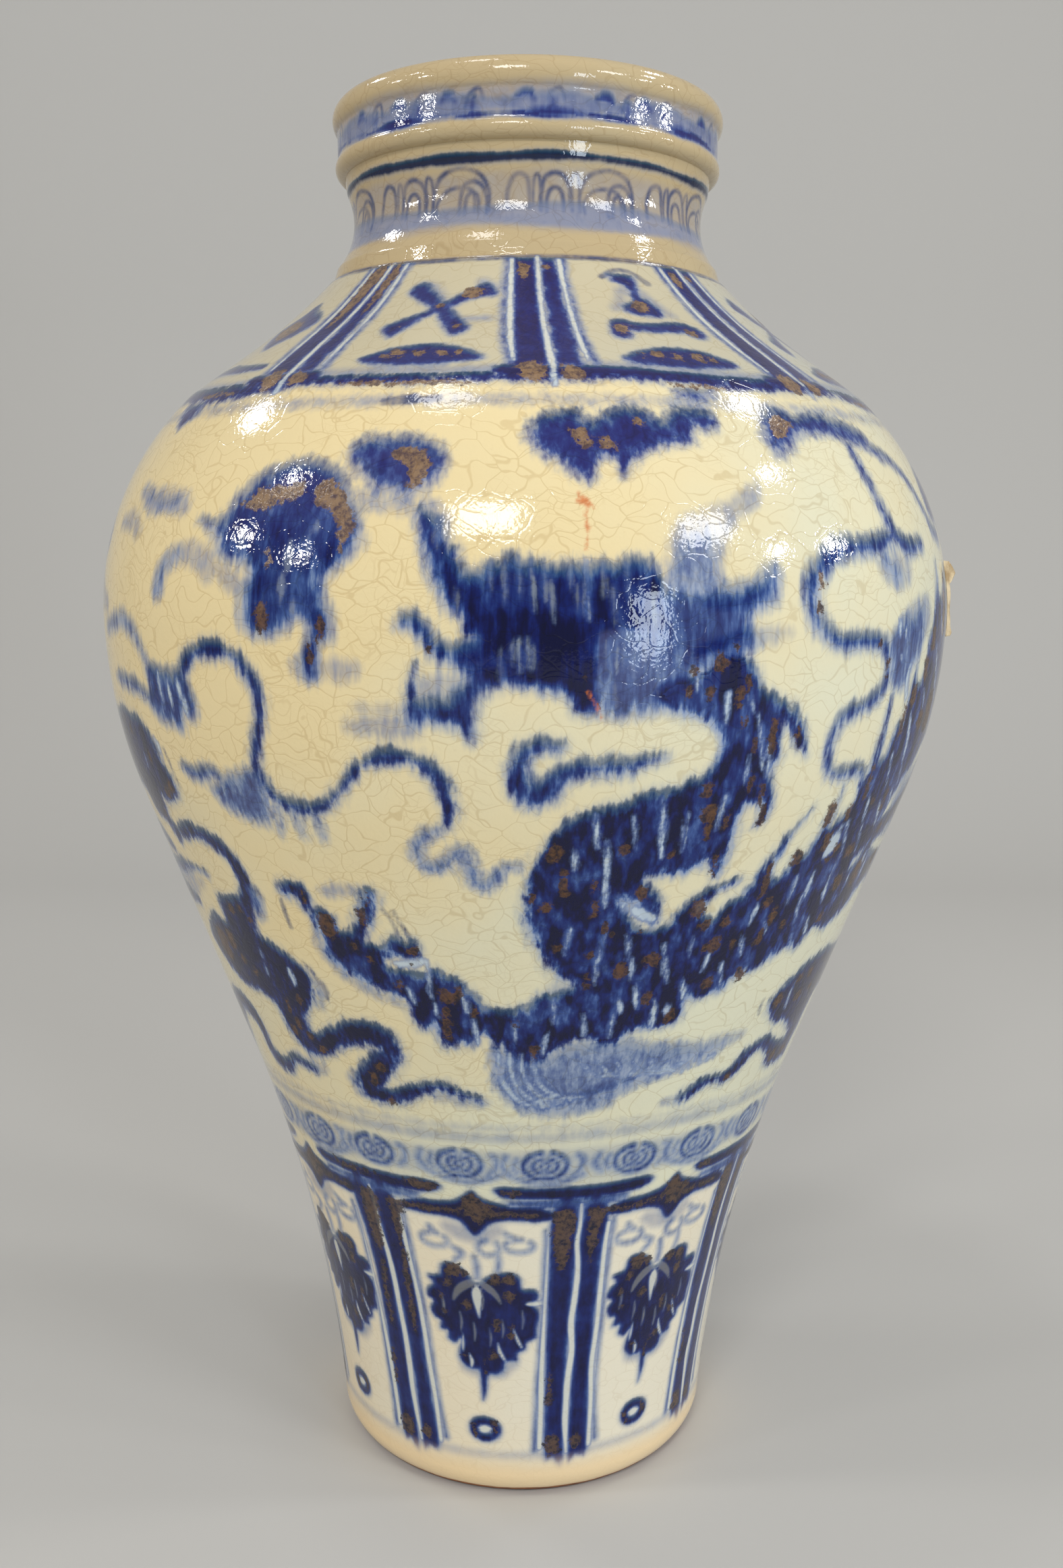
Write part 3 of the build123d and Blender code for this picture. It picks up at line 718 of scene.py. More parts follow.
def clouds():
    """Soft-edged clouds under the shoulder, stained tan where the cobalt lies thick."""
    cobalt.patch(
        (-40.8, 353), (-37.8, 353), (-36, 356), (-35, 360.6), (-32.8, 365), (-30, 368.6),
        (-27, 370), (-24, 369), (-21.4, 366), (-19.8, 361), (-18.4, 355), (-17.6, 349),
        (-18.4, 344), (-20, 340), (-21.6, 336.4), (-21.6, 331), (-20.8, 325), (-21.2, 319.4),
        (-22.8, 318.6), (-23.4, 322), (-24.6, 325), (-26.8, 322), (-28.6, 319.6), (-31, 320),
        (-32.6, 324), (-32.6, 331), (-31.6, 337), (-33.2, 341), (-36.4, 343), (-37.4, 347),
        (-39, 351), depth=0.56,
    )
    cobalt.stroke((-22.4, 325, 2.6), (-23, 318, 2), (-23.6, 312, 2), (-23.2, 309, 1.4), depth=0.7)
    wash.patch((-26, 312.6), (-24.6, 307), (-22, 308.4), (-19, 307.6), (-18, 313), (-22, 314))
    rust.patch(
        (-24.4, 361), (-22.8, 365.4), (-20.8, 362.6), (-19.4, 357), (-18.6, 352), (-19.4, 346),
        (-20.2, 344), (-20.6, 351), (-22, 355.4), (-23.8, 357.6),
    )
    rust.patch(
        (-34, 357.4), (-32, 361.6), (-28.8, 363.4), (-25.8, 364), (-26, 360), (-28.4, 358),
        (-31, 355.6),
    )
    rust.spots(
        (-31.6, 360.6, 2.4, 2), (-28.6, 359, 1.8, 2), (-26, 361.4, 2, 1.2), (-29.6, 325.4, 2.4, 5),
        (-29, 342, 1.2, 3), (-22, 322, 1.6, 4), (-23.3, 315, 1.2, 4), (-34, 358.4, 1, 1.4),
    )
    cobalt.patch(
        (-20.8, 373.6), (-18, 376.6), (-13.4, 376.4), (-10.4, 374), (-8.8, 370), (-9.4, 365.6),
        (-11.2, 361.6), (-12.8, 359.6), (-15, 361), (-17, 362.6), (-18.8, 366.6), (-20.4, 369),
        depth=0.54,
    )
    cobalt.spots(
        (-33.6, 352, 3, 4), (-28.6, 350, 3, 6), (-30.2, 336, 2, 6), (-30.4, 325, 3, 4),
        (-21, 345, 2, 6), (-18, 373, 2, 2.4), (-16.4, 367, 2, 3), depth=0.74,
    )
    for at, height, tall, share in (
        (-33.2, 347, 7, 0.25), (-26.2, 343, 8, 0.25), (-24, 346, 9, 0.3), (-23.2, 351, 4, 0.35),
        (-27, 333, 8, 0.3), (-25.4, 328, 6, 0.3),
    ):
        slit(at, height, tall, wide=1.3, depth=share)

    rust.patch(
        (-15.8, 371), (-14, 374), (-12, 373.4), (-10.6, 370), (-10.6, 366), (-12, 362),
        (-13.2, 362.8), (-13.4, 367.4),
    )
    cobalt.patch(
        (0.4, 377), (1.4, 381.6), (3.4, 383.8), (6.4, 384), (8.2, 381), (9.8, 383.4), (12, 385),
        (15, 384.8), (16.6, 382), (18.6, 384.4), (21.4, 385.2), (24, 384.4), (24.4, 381),
        (23, 379.4), (21, 379.4), (20, 375.6), (16.6, 374), (13.6, 371.6), (11.8, 367.6), (11, 366),
        (10.4, 370), (8.4, 369.4), (7.4, 364.6), (6, 365.6), (4, 369), (2, 371.6), depth=0.7,
    )
    rust.patch((5.4, 379), (7, 379.6), (8, 376), (7.6, 373.6), (6.2, 374.4))
    rust.spots((9.6, 375, 2.2, 1.4), (14, 381.6, 2, 1), (10.8, 373.4, 1, 1.6))
    cobalt.patch(
        (31.2, 379.4), (32, 384.6), (35, 386.4), (38.4, 385), (42, 386.6), (46, 385.4), (50, 384),
        (53, 380), (51.6, 376.4), (48, 378), (44, 380), (40, 380.4), (36.6, 378.6), (34.6, 375.4),
        (32.6, 372.6), (31.4, 374.6), depth=0.6,
    )
    rust.patch((32.4, 378), (33, 384), (35, 385.4), (37, 383), (35.6, 380), (34, 377.6))
    wash.stroke((-57.6, 363, 2.4), (-53, 360, 3.6), (-49, 359, 3.8), (-45, 358, 3.4))
    cobalt.stroke((-56, 362, 1.2), (-52, 358, 2), (-47, 358, 1.6), depth=0.3)
    wash.stroke(
        (-47.6, 333, 3.4), (-46.4, 340, 3.4), (-43, 343, 3.2), (-39.4, 341, 3), (-38, 337, 2.4),
    )
    cobalt.stroke((-47.8, 332, 2), (-46.8, 339, 1.8), (-44, 343, 1.4), depth=0.34)
    wash.stroke((-63, 353, 2), (-59, 353.6, 3), (-55.6, 350, 2.6))
    wash.stroke((-18.6, 360, 1.6), (-15, 358, 3), (-12, 357, 2))
    wash.stroke((-41, 345, 2), (-36, 338, 3), (-33, 334, 2.4))


def clouds_behind():
    """Clouds and streamers that carry the sky round the back."""
    for number, at in enumerate((76, 104, 133, 165, 197, 228, 256, 280)):
        rise_by = (10, -4, 6, -8, 4, -2, 8, -6)[number]
        height = 352 + rise_by
        cobalt.patch(
            (at - 9, height - 4), (at - 8, height + 5), (at - 5, height + 11),
            (at - 1, height + 12.5), (at + 2, height + 9), (at + 5, height + 10.5),
            (at + 8.5, height + 6), (at + 9, height), (at + 6.5, height - 5), (at + 3, height - 9),
            (at - 1, height - 17), (at - 3, height - 9), (at - 6, height - 7), depth=0.7,
        )
        rust.patch(
            (at - 3, height + 3), (at - 1.6, height + 8), (at + 1, height + 6),
            (at + 0.6, height - 2), (at - 1, height - 4),
        )
        wash.stroke((at + 5, height - 10, 4), (at + 10, height - 18, 4), (at + 14, height - 20, 2))
    for at in (88, 150, 212, 262):
        cobalt.stroke(
            (at - 8, 338, 1.4), (at - 3, 330, 2), (at - 3, 322, 2), (at + 2, 316, 2),
            (at + 7, 320, 2.2), (at + 11, 328, 2), (at + 15, 326, 1.6), (at + 17, 318, 1.4),
            depth=0.62,
        )
    for at in (96, 121, 152, 182, 214, 244, 268):
        cobalt.stroke(
            (at - 9, 166, 1.4), (at - 5, 171, 2.6), (at, 172, 3.4), (at + 3, 168, 3.4),
            (at + 5, 165, 2.8), (at + 9, 167, 2.2), (at + 13, 172, 1.2), depth=0.85,
        )
        cobalt.stroke(
            (at - 2, 196, 4), (at + 2, 190, 4.4), (at + 3, 182, 3.6), (at + 8, 179, 2), depth=0.9,
        )
        rust.spot(at + 2, 190, 2, 3)


def shoulder_bars(number):
    """Pair of bars that fan out over the shoulder, with thin lines, stains and a foot."""
    tilt = (0.0, 1.5, 2.0, 2.5, 2.0, 1.0, 0.5, -0.5, -1.0)[number]

    def bar(left_top, left_foot, right_top, right_foot, depth):
        cobalt.patch(
            (left_top, 436.6), (left_foot, 398), (right_foot, 398), (right_top, 436.6),
            depth=depth, steps=1,
        )

    bar(-3.2, -1.6 + tilt, 2.4, 3.4 + tilt, 0.86)
    bar(3.4, 4.4 + tilt, 7.4, 8.4 + tilt, 0.78)
    bare.stroke(
        (2.8, 437, 0.9), (2.9, 425, 0.8), (3.2 + tilt / 2, 412, 0.9), (3.9 + tilt, 399, 1.1),
        (4.2 + tilt, 392, 0.7),
    )
    cobalt.stroke(
        (-4.6, 436, 0.8), (-4.2, 420, 0.8), (-3.4 + tilt / 2, 408, 0.8), (-2 + tilt, 399, 0.7),
        depth=0.62,
    )
    cobalt.stroke(
        (9.1, 436, 0.7), (9.3, 420, 0.6), (9.4 + tilt / 2, 408, 0.8), (10.2 + tilt, 399, 0.8),
        depth=0.62,
    )
    bare.stroke(
        (-3.6, 436, 0.8), (-3, 420, 1.0), (-2.4 + tilt / 2, 408, 1.0), (-1.6 + tilt, 400, 0.7),
    )
    bare.stroke(
        (8.1, 436, 0.9), (8.4, 420, 0.8), (8.7 + tilt / 2, 408, 0.8), (9.2 + tilt, 400, 0.6),
    )
    rust.patch(
        (-1.2 + tilt, 398), (-0.4 + tilt, 394), (1.6 + tilt, 392.4), (3 + tilt, 395),
        (2.6 + tilt, 399), (0.6 + tilt, 399.6),
    )
    rust.patch(
        (4.8 + tilt, 398), (5.4 + tilt, 394), (7 + tilt, 393.4), (8.4 + tilt, 395),
        (7.6 + tilt, 397.6), (5.6 + tilt, 399),
    )
    rust.spot(-0.6, 432, 2.2, 3.6)
    rust.spot(5.0, 433.6, 1.6, 1.2)
    if number in (6, 8, 3, 5):
        rust.patch((-2.8, 436.4), (-2.4, 424), (-1, 414), (0.4, 418), (1.6, 428), (2.2, 436.2))
        rust.patch((4, 436.2), (4.4, 426), (5.4, 419), (6.6, 424), (7, 436))
    wash.stroke((-2 + tilt, 399, 2), (4 + tilt, 398, 2), (10 + tilt, 399, 2))
    cobalt.stroke((-3 + tilt, 396, 3.6), (3 + tilt, 396, 3.4), (9 + tilt, 396, 3.6), depth=0.9)


def cross():
    """Emblem of two crossed strokes."""
    cobalt.patch(
        (-8.8, 427), (-6, 428.4), (-3.6, 426), (-1, 422.4), (0.4, 421), (3, 423.4),
        (6.2, 426.4), (8.4, 427.4), (10.4, 425), (10.8, 422.6), (7.4, 422.8), (4.4, 421),
        (1.8, 418.6), (3.4, 416.4), (5.8, 413.4), (6.8, 410.6), (4.6, 408.6), (2.4, 411.6),
        (0.4, 415.2), (-0.8, 416.6), (-3.4, 413.8), (-6.2, 409), (-8, 409.6), (-9.4, 412.6),
        (-7.4, 414.4), (-4.4, 416.4), (-2.2, 418.6), (-4.6, 421.4), (-7.8, 423.8),
        depth=0.72, steps=3,
    )
    cobalt.stroke(
        (-8, 425.6, 2.0), (-3, 421.4, 2.0), (1, 417.6, 2.2), (5.6, 411.4, 2.2), depth=0.74,
    )
    cobalt.stroke(
        (9, 425, 2.0), (3.6, 421.6, 1.8), (-3, 416, 1.8), (-8, 411.6, 1.8), depth=0.74,
    )
    wash.stroke((-7, 427.6, 1.4), (-4, 426.8, 1.6), (0, 421.6, 1))
    wash.stroke((7, 428, 1.2), (10, 425.6, 2))
    wash.stroke((6, 414.6, 1), (9.6, 414.6, 1.2))
    rust.spot(5.4, 424, 3.6, 1.6)
    rust.spot(-0.6, 419.8, 1.4, 1.0)
    rust.spot(4.4, 412.2, 1.4, 1.2)
    rust.spot(-6, 412.4, 0.8, 0.8)


def tripod():
    """Emblem of a bowed stem over a broad foot."""
    linework.stroke(
        (-6, 430.6, 0.9), (-3, 432.8, 0.8), (0, 433.6, 0.8), (3, 432.6, 0.9),
        (5.4, 429.4, 1.3),
    )
    cobalt.patch(
        (-4.4, 431.6), (0, 431.8), (2.4, 431.2), (2, 427), (0.8, 424.4), (2.4, 422.6),
        (4.2, 419.4), (3.4, 417), (0, 416.8), (-3, 417.4), (-4.2, 419), (-3, 421),
        (-0.8, 423), (-1.2, 427), (-2.4, 429.4), depth=0.78, steps=3,
    )
    cobalt.stroke(
        (-2.6, 430, 1.8), (0.4, 427.6, 1.8), (0, 423, 1.8), (0.4, 419.4, 3.0), depth=0.8,
    )
    wash.stroke((2.6, 425, 1.4), (4, 421, 1.6), (5.8, 418, 1.4))
    wash.stroke((-2.6, 426, 1.4), (-4.4, 421, 1.4), (-6, 419, 1))
    cobalt.stroke(
        (-7.2, 410, 3.4), (-6.6, 413, 3.2), (-4, 412.6, 2.8), (-1, 412.4, 2.6),
        (3, 412.8, 2.8), (6, 413.2, 3.4), (8, 412, 3.8), depth=0.8,
    )
    rust.spot(0, 420.4, 3.4, 2.2)
    rust.spot(-6.6, 412, 3.2, 2.0)
    rust.spot(7.2, 411.6, 2.4, 2.0)


def lozenge():
    """Emblem with four corners, over a wavy stroke."""
    cobalt.patch(
        (-8.4, 417.4), (-3, 421.6), (0, 425.6), (3, 423), (8, 420), (9, 417), (4.6, 412.4),
        (0, 409.4), (-4, 412), depth=0.72,
    )
    rust.patch((-6, 417), (-1, 420), (4, 417.6), (1, 412.8), (-2, 413))
    cobalt.stroke(
        (-12, 402.4, 1.4), (-5, 402.8, 2.4), (3, 402, 2.2), (9.4, 401.6, 1.4), depth=0.82,
    )


def long_leaf():
    """Long leaf under a cross or a tripod."""
    cobalt.patch(
        (-9, 401.4), (-6.4, 403.4), (-3, 405), (2, 405.6), (6, 404.6), (9.6, 402.4),
        (10.4, 400.4), (7, 399.4), (4, 398.8), (0, 398.6), (-4, 399), (-7.4, 399.6),
        depth=0.76,
    )
    for at, wide in ((-3.2, 2.6), (0.4, 2.2), (4, 2.6), (6.6, 1.6), (-5.4, 1.4)):
        rust.spot(at, 402 + 0.3 * wide, wide, 1.2)
    wash.stroke((-5, 398, 1.8), (0, 396.8, 2.4), (5, 398, 1.8))


def ridge_lines():
    """Dark wavy line round the ridge, stained at the bar feet, over a pale one."""
    at = np.arange(-180, 181, 6.0)
    height = 394.6 + 1.0 * np.sin(np.radians(at * 3 + 40)) + 0.7 * np.sin(np.radians(at * 9))
    wide = 2.5 + 0.8 * np.sin(np.radians(at * 5 + 20)) + 0.5 * np.sin(np.radians(at * 13))
    cobalt.stroke(*zip(at, height, wide), depth=0.94)
    wash.stroke(*zip(at, height + 2.4, wide * 0 + 2.0))
    wash.stroke(*zip(at, height * 0 + 387.6, wide * 0 + 1.8), depth=0.8)
    for turn, half in (
        (-21, 5), (-13, 6), (-17, 3), (24, 4), (-52, 5), (64, 6), (100, 6), (150, 5), (200, 6),
        (250, 5),
    ):
        rust.stroke((turn - half, 392.8, 0.8), (turn, 393, 1.3), (turn + half, 392.6, 0.7))
    cobalt.stroke((-60, 390, 2), (-57, 387.6, 5), (-54, 391, 2), depth=0.7)
    cobalt.stroke((20.6, 391, 1), (23, 390, 2.6), (25.6, 391, 1), depth=0.6)
    linework.stroke((-14, 388, 2), (-18, 387, 1.2), (-11, 388, 1.2))
    seam = np.arange(-180, 181, 7.5)
    drift = 437.0 + 0.4 * np.sin(np.radians(seam * 4))
    linework.stroke(*zip(seam, drift, seam * 0 + 1.0))


def arch(centre, half, foot, top, wide, lean=0.0):
    """Thin arch on the neck, from foot to top, leaning at its crown."""
    rise = top - foot
    wide = 1.25 * wide
    linework.stroke(
        (centre - half, foot, wide), (centre - half * 0.98, foot + 0.45 * rise, wide),
        (centre - half * 0.68 + lean, foot + 0.85 * rise, wide * 1.1),
        (centre + lean, top, wide * 0.9),
        (centre + half * 0.68 + lean, foot + 0.87 * rise, wide),
        (centre + half * 0.98, foot + 0.5 * rise, wide * 1.1),
        (centre + half, foot, wide * 0.6),
    )


def lappets():
    """Nested arches of one eighth of the neck, wide and narrow by turns, in pale wash."""
    arch(-20.2, 8.9, 453.4, 466.6, 0.42)
    arch(-21.6, 6.2, 453, 461, 0.3, 0.8)
    arch(-15.9, 4.2, 452.4, 462.6, 0.4, -0.3)
    arch(-16.4, 2.1, 452.4, 459.2, 0.42)
    arch(-30.6, 1.5, 455, 465, 0.28)
    arch(-2.4, 3.3, 454, 464.6, 0.42, 0.3)
    arch(8.8, 4.6, 453.4, 465, 0.42, -0.4)
    arch(8.4, 2.5, 453, 460.6, 0.36)
    arch(3, 1.2, 455, 464.4, 0.26)
    wash.stroke((-6, 456, 2.4), (0, 458, 3.4), (6, 457, 3.6), (12, 456, 2.8), depth=0.8)
    wash.stroke((-27, 453, 2.4), (-18, 454, 3.2), (-10, 453.4, 2.6), depth=0.7)
    wash.stroke((-2.4, 456, 1.2), (-2.4, 461, 1.2))
    wash.stroke((-15.6, 454, 1.0), (-15.8, 459, 0.8))


def neck_haze():
    """Grey-blue haze behind the arches, and the dark line under the mouth."""
    at = np.arange(-180, 181, 9.0)
    wash.stroke(*zip(at, at * 0 + 450, 2.4 + 0.8 * np.sin(np.radians(at * 7))), depth=0.62)
    cobalt.stroke(*zip(at, at * 0 + 451.8, 3.4 + 1.1 * np.sin(np.radians(at * 4))), depth=0.06)
    wash.stroke(*zip(at, at * 0 + 459, 6.4 + 0.8 * np.sin(np.radians(at * 5))), depth=0.5)
    at = np.arange(-180, 181, 6.0)
    height = 469.6 + 0.3 * np.sin(np.radians(at * 5)) + 0.15 * np.sin(np.radians(at * 11))
    wide = 1.15 + 0.35 * np.sin(np.radians(at * 3 + 150)) + 0.2 * np.sin(np.radians(at * 13))
    cobalt.stroke(*zip(at, height, wide), depth=0.95)


def mouth_band():
    """Cloudy blue band round the mouth, blotched, and darkest along its foot."""
    at = np.arange(-180, 181, 6.0)
    wash.stroke(*zip(at, at * 0 + 486, 4.6 + 0.7 * np.sin(np.radians(at * 7))), depth=0.8)
    cobalt.stroke(*zip(at, at * 0 + 484.6, 2.6 + 1.2 * np.sin(np.radians(at * 11))), depth=0.18)
    height = 481.8 + 0.3 * np.sin(np.radians(at * 9))
    wide = 1.1 + 0.6 * np.sin(np.radians(at * 8 + 30)) + 0.5 * np.sin(np.radians(at * 17))
    cobalt.stroke(*zip(at, height, np.maximum(wide, 0.3)), depth=0.8)
    for number in range(19):
        turn = 360 / 19 * number + 4 * math.sin(number * 2.4)
        cobalt.stroke(
            (turn - 2.4, 486.4, 1.0), (turn, 487.4, 1.7), (turn + 2, 486.2, 1.1), depth=0.6,
        )
        cobalt.spot(turn + 7, 484.6, 1.6, 2.6, depth=0.55)
        linework.stroke(
            (turn + 5, 484, 0.3), (turn + 6.4, 488, 0.4), (turn + 9, 489.4, 0.3),
            (turn + 10, 486, 0.3),
        )


def scroll_band():
    """Pale wash with running scrolls between two thin lines, above the skirt."""
    at = np.arange(-180, 181, 9.0)
    wash.stroke(*zip(at, 141 + 0 * at, 6.4 + 0.6 * np.sin(np.radians(at * 5))), depth=0.62)
    wash.stroke(*zip(at, 152.6 + 0.8 * np.sin(np.radians(at * 3)), 1.8 + 0 * at), depth=0.8)
    wash.stroke(*zip(at, 156.4 + 0.5 * np.sin(np.radians(at * 4)), 0.9 + 0 * at), depth=0.5)


def running_scroll(number):
    """Scroll of three rings with short curls beside it, and a curl below every second one."""
    for wide, tall, brush in ((4.3, 5.4, 1.0), (2.4, 3.1, 0.85), (0.8, 1.0, 0.8)):
        cobalt.stroke(*oval(0, 141, wide, tall, brush, np.linspace(0.3, 6.1, 11)), depth=0.76)
    cobalt.stroke((-7.6, 144.6, 0.8), (-8.4, 141, 1.0), (-7, 137.8, 0.8), depth=0.5)
    cobalt.stroke((-5.6, 143.6, 0.7), (-6.2, 140.4, 0.9), (-5.4, 138.4, 0.5), depth=0.5)
    cobalt.stroke((6.4, 145, 0.7), (7.4, 143, 0.9), (7, 139.4, 0.8), (5.6, 137, 0.6), depth=0.5)
    if number % 2 == 0:
        cobalt.stroke(
            (-8, 138, 0.7), (-3, 134.4, 0.9), (3, 134, 1.0), (7.6, 137, 0.7), depth=0.5,
        )


# How far the bars of each skirt panel lean, and how their white lines sway
PANEL_LEAN = (0.0, -0.4, 0.3, -0.3, 0.4, -0.2, 0.0, 2.4)
PANEL_SWAY = (1.0, -1.0, 0.6, -0.8, 1.0, -0.6, 0.8, 0.2)


def skirt_panel(number):
    """Bars, ceiling line and collar line of one of the eight panels round the foot."""
    lean, sway = PANEL_LEAN[number], PANEL_SWAY[number]

    def upright(paint, *places, depth=1.0):
        """Stroke that leans with the panel about its point at 60 mm."""
        leaning = [(at - lean * (height - 60) / 60, height, wide) for at, height, wide in places]
        paint.stroke(*leaning, depth=depth)

    cobalt.patch(
        (6.6 - lean, 124), (6.2, 90), (6.3, 50), (6.5 + lean * 0.7, 18), (9 + lean * 0.7, 16),
        (12.4 + lean * 0.7, 15.6), (12.4, 60), (12.4 - lean, 124), depth=0.8, steps=3,
    )
    cobalt.patch(
        (13 - lean, 124), (13.4, 60), (13.4 + lean * 0.7, 17), (16 + lean * 0.7, 16.4),
        (19.4 + lean * 0.7, 18), (19, 50), (18.8, 90), (18.8 - lean, 124), depth=0.8, steps=3,
    )
    upright(
        bare, (12.7, 124.4, 0.6), (12.8, 116, 0.7), (12.5, 108, 0.9), (12.9 + 0.3 * sway, 97, 1.1),
        (13.1, 86, 1.2), (12.9 - 0.3 * sway, 74, 1.2), (12.8 + 0.4 * sway, 62, 1.2),
        (12.6, 50, 1.3), (12.2 + 0.3 * sway, 40, 1.2), (12.5, 30, 1.1), (13.1, 18, 0.6),
    )
    upright(
        bare, (19.4, 115, 0.8), (19.2, 104, 1.0), (19.4, 88, 1.0), (19.5, 70, 1.0),
        (19.4 - 0.3 * sway, 54, 1.1), (19.7, 38, 1.0), (19.8, 20, 0.9),
    )
    upright(
        bare, (5.9, 112, 0.4), (5.9, 96, 0.55), (5.7, 76, 0.7), (5.5, 58, 1.0), (5.5, 40, 1.1),
        (5.4, 21, 1.0),
    )
    upright(
        cobalt, (20.4, 116, 0.7), (20.4, 98, 0.5), (20.7, 78, 0.5), (20.6, 58, 0.4),
        (20.8, 38, 0.5), (21.6, 22, 0.8), depth=0.66,
    )
    upright(
        cobalt, (5.3, 114, 0.4), (5.2, 90, 0.35), (4.9, 64, 0.5), (4.4, 44, 0.7), (4.0, 20, 0.9),
        depth=0.7,
    )

    # Ceiling line with its cusp and drop, and the cloud-collar line above it
    cobalt.stroke(
        (-2, 125.6, 1.6), (6, 125, 2.2), (14, 124.6, 2.4), (22, 125.2, 1.6), depth=0.55,
    )
    cobalt.patch(
        (-28, 119), (-24, 123.6), (-18.6, 124), (-15, 125), (-12.6, 127), (-10.3, 130.2),
        (-8.4, 127.4), (-5.6, 125.6), (-1.6, 124.4), (4, 124), (8, 119.4), (4, 117.6), (0, 118),
        (-3.4, 118), (-6.6, 116.4), (-8.4, 113), (-10.2, 111), (-12, 113.4), (-13.6, 116.4),
        (-17, 118), (-22, 117.8),
    )
    cobalt.patch(
        (-5.8, 130.6), (-3.6, 127.6), (0, 126.8), (7, 126.4), (13, 126), (20, 126.4),
        (26, 127.6), (28.6, 130.4), (26, 132.4), (18, 132), (8, 132), (0, 132), (-4, 132.2),
    )
    rust.patch(
        (-13, 125.4), (-10.4, 129.4), (-8, 126.4), (-5, 124), (-7, 121), (-8.4, 116.4),
        (-11, 117.6), (-12.6, 121.4),
    )
    if number in (7, 2, 4):
        rust.patch((20, 131.6), (25, 132), (28, 130.6), (26, 128.4), (21.6, 128.4))
        rust.patch((0, 131.4), (8, 131), (14, 130.6), (8, 128.6), (2, 129))
    else:
        rust.patch((-4.4, 131), (-1, 131.4), (0.4, 129), (-3, 128.4))
    rust.patch(
        (7, 122), (10, 123), (12, 120), (11.6, 110), (10.8, 100), (9, 96), (7.2, 104),
        (6.8, 114),
    )
    rust.patch(
        (14, 122), (19, 121.6), (18.4, 118.4), (16.8, 108), (16, 97), (15, 108), (14.6, 118),
    )
    rust.stroke((-27, 121, 1.0), (-22, 120.4, 1.5), (-17, 120.8, 1.3), (-13, 121.6, 1.6))
    rust.stroke((-7, 120.4, 1.6), (-3, 121, 1.3), (3, 120.4, 1.2))
    rust.spot(9.6, 112, 2.6, 9)
    rust.spot(16, 113, 2.4, 8)
    rust.spot(8.8 + lean * 0.6, 22, 3.2, 4.6)
    rust.spot(15.6 + lean * 0.6, 22, 2.4, 3.4)
    rust.spot(7.6, 46, 1.2, 8)
    if number in (7, 3, 5):
        rust.stroke((9.4, 92, 1), (8.6, 80, 1.4), (8.8, 66, 1.2))
        rust.stroke((16.6, 100, 1.2), (16, 84, 1.6), (16.4, 66, 1.2))


def leaf_crest():
    """Leaf crest: a lobed leaf with a long point below and two brown caps above."""
    cobalt.patch(
        (-0.4, 91), (-2, 93.6), (-4, 97), (-6.8, 98.6), (-8.8, 96.8), (-9.6, 92.8), (-12.6, 91.2),
        (-11.4, 88.4), (-13, 85.4), (-13.4, 82.2), (-11.8, 80.6), (-13, 77), (-12, 73.6),
        (-10.4, 72.6), (-10.8, 69), (-8.8, 68.6), (-9, 65.4), (-7, 63.6), (-5.2, 65.6), (-6, 61.4),
        (-6.2, 57.4), (-4.4, 54.4), (-2.4, 53.6), (-0.8, 53), (-0.4, 46.6), (-0.1, 40.6), (0.8, 43),
        (1.4, 47), (1.8, 51.6), (4, 52), (6, 54.4), (6.6, 57.6), (9.4, 58.4), (9.6, 61.4),
        (11.6, 63.4), (12, 66.4), (14.4, 68.4), (14.4, 72.6), (15, 76.6), (14.6, 80.4),
        (13.4, 82.6), (14.8, 86), (13.6, 88.8), (10.6, 89.4), (10.2, 93.4), (8.4, 95.8), (5, 95.8),
        (2.4, 94), depth=0.86,
    )
    bare.patch((-1.6, 86.6), (-0.3, 89.6), (0.9, 86.4), (0.4, 80.6), (0, 75.8), (-0.8, 79.6))
    bare.stroke((0.8, 91.4, 1.5), (2.6, 89, 1.6), (4.2, 86.4, 1.2), (5.4, 83, 0.4), depth=0.22)
    bare.stroke(
        (-1, 91.4, 1.5), (-3.2, 89.6, 1.8), (-5.2, 86.6, 1.4), (-6.4, 82.6, 0.5), depth=0.22,
    )
    for at, height in (
        (-9.4, 80), (-5, 74), (-1.6, 70), (2.4, 68), (5.6, 72), (10.6, 76), (0.8, 84),
    ):
        bare.stroke(
            (at, height + 4, 0.2), (at + 0.3, height, 0.5), (at, height - 4, 0.2), depth=0.3,
        )
    bare.stroke((11.8, 83, 0.6), (13.6, 83, 1.1), (15.4, 83.4, 0.8))
    wash.stroke((11, 78, 1), (13.6, 73, 2), (12.6, 69, 1.4))
    bare.stroke((-3.2, 60, 0.2), (-2.6, 57, 0.7), (-2.9, 54.4, 0.3))
    bare.stroke((4.4, 66, 0.2), (4.9, 62, 0.8), (6.4, 58, 0.4))
    bare.stroke((-4.6, 68, 0.2), (-4.8, 64, 0.6), (-4.9, 61, 0.2))
    bare.stroke((8.4, 72, 0.2), (9.6, 67, 0.6), (10.6, 64, 0.3))
    wash.stroke((-4, 54, 2), (-1.4, 53, 2), (0.6, 52.6, 1))
    wash.stroke((2, 53, 2), (5, 53.4, 2.2), (8, 57, 1.8))
    rust.spots(
        (-5.8, 95.6, 3.6, 2.0), (-3.2, 94.6, 2.2, 1.4), (4, 93.2, 2.6, 1.4), (7.4, 92.8, 2.8, 1.5),
        (-7.6, 89.6, 1.8, 2), (-9.6, 83.6, 1.7, 1.4), (-3, 81.2, 2.2, 1.5), (-9, 77, 1.2, 1.0),
        (7.6, 86.4, 2.2, 3), (4.2, 73.4, 1.4, 3.4), (8.6, 73, 1.6, 1.6), (8, 69, 1.9, 1.9),
        (3.2, 60.4, 2.0, 1), (-4, 59.4, 1.2, 1.2), (0.9, 55, 0.7, 3),
    )


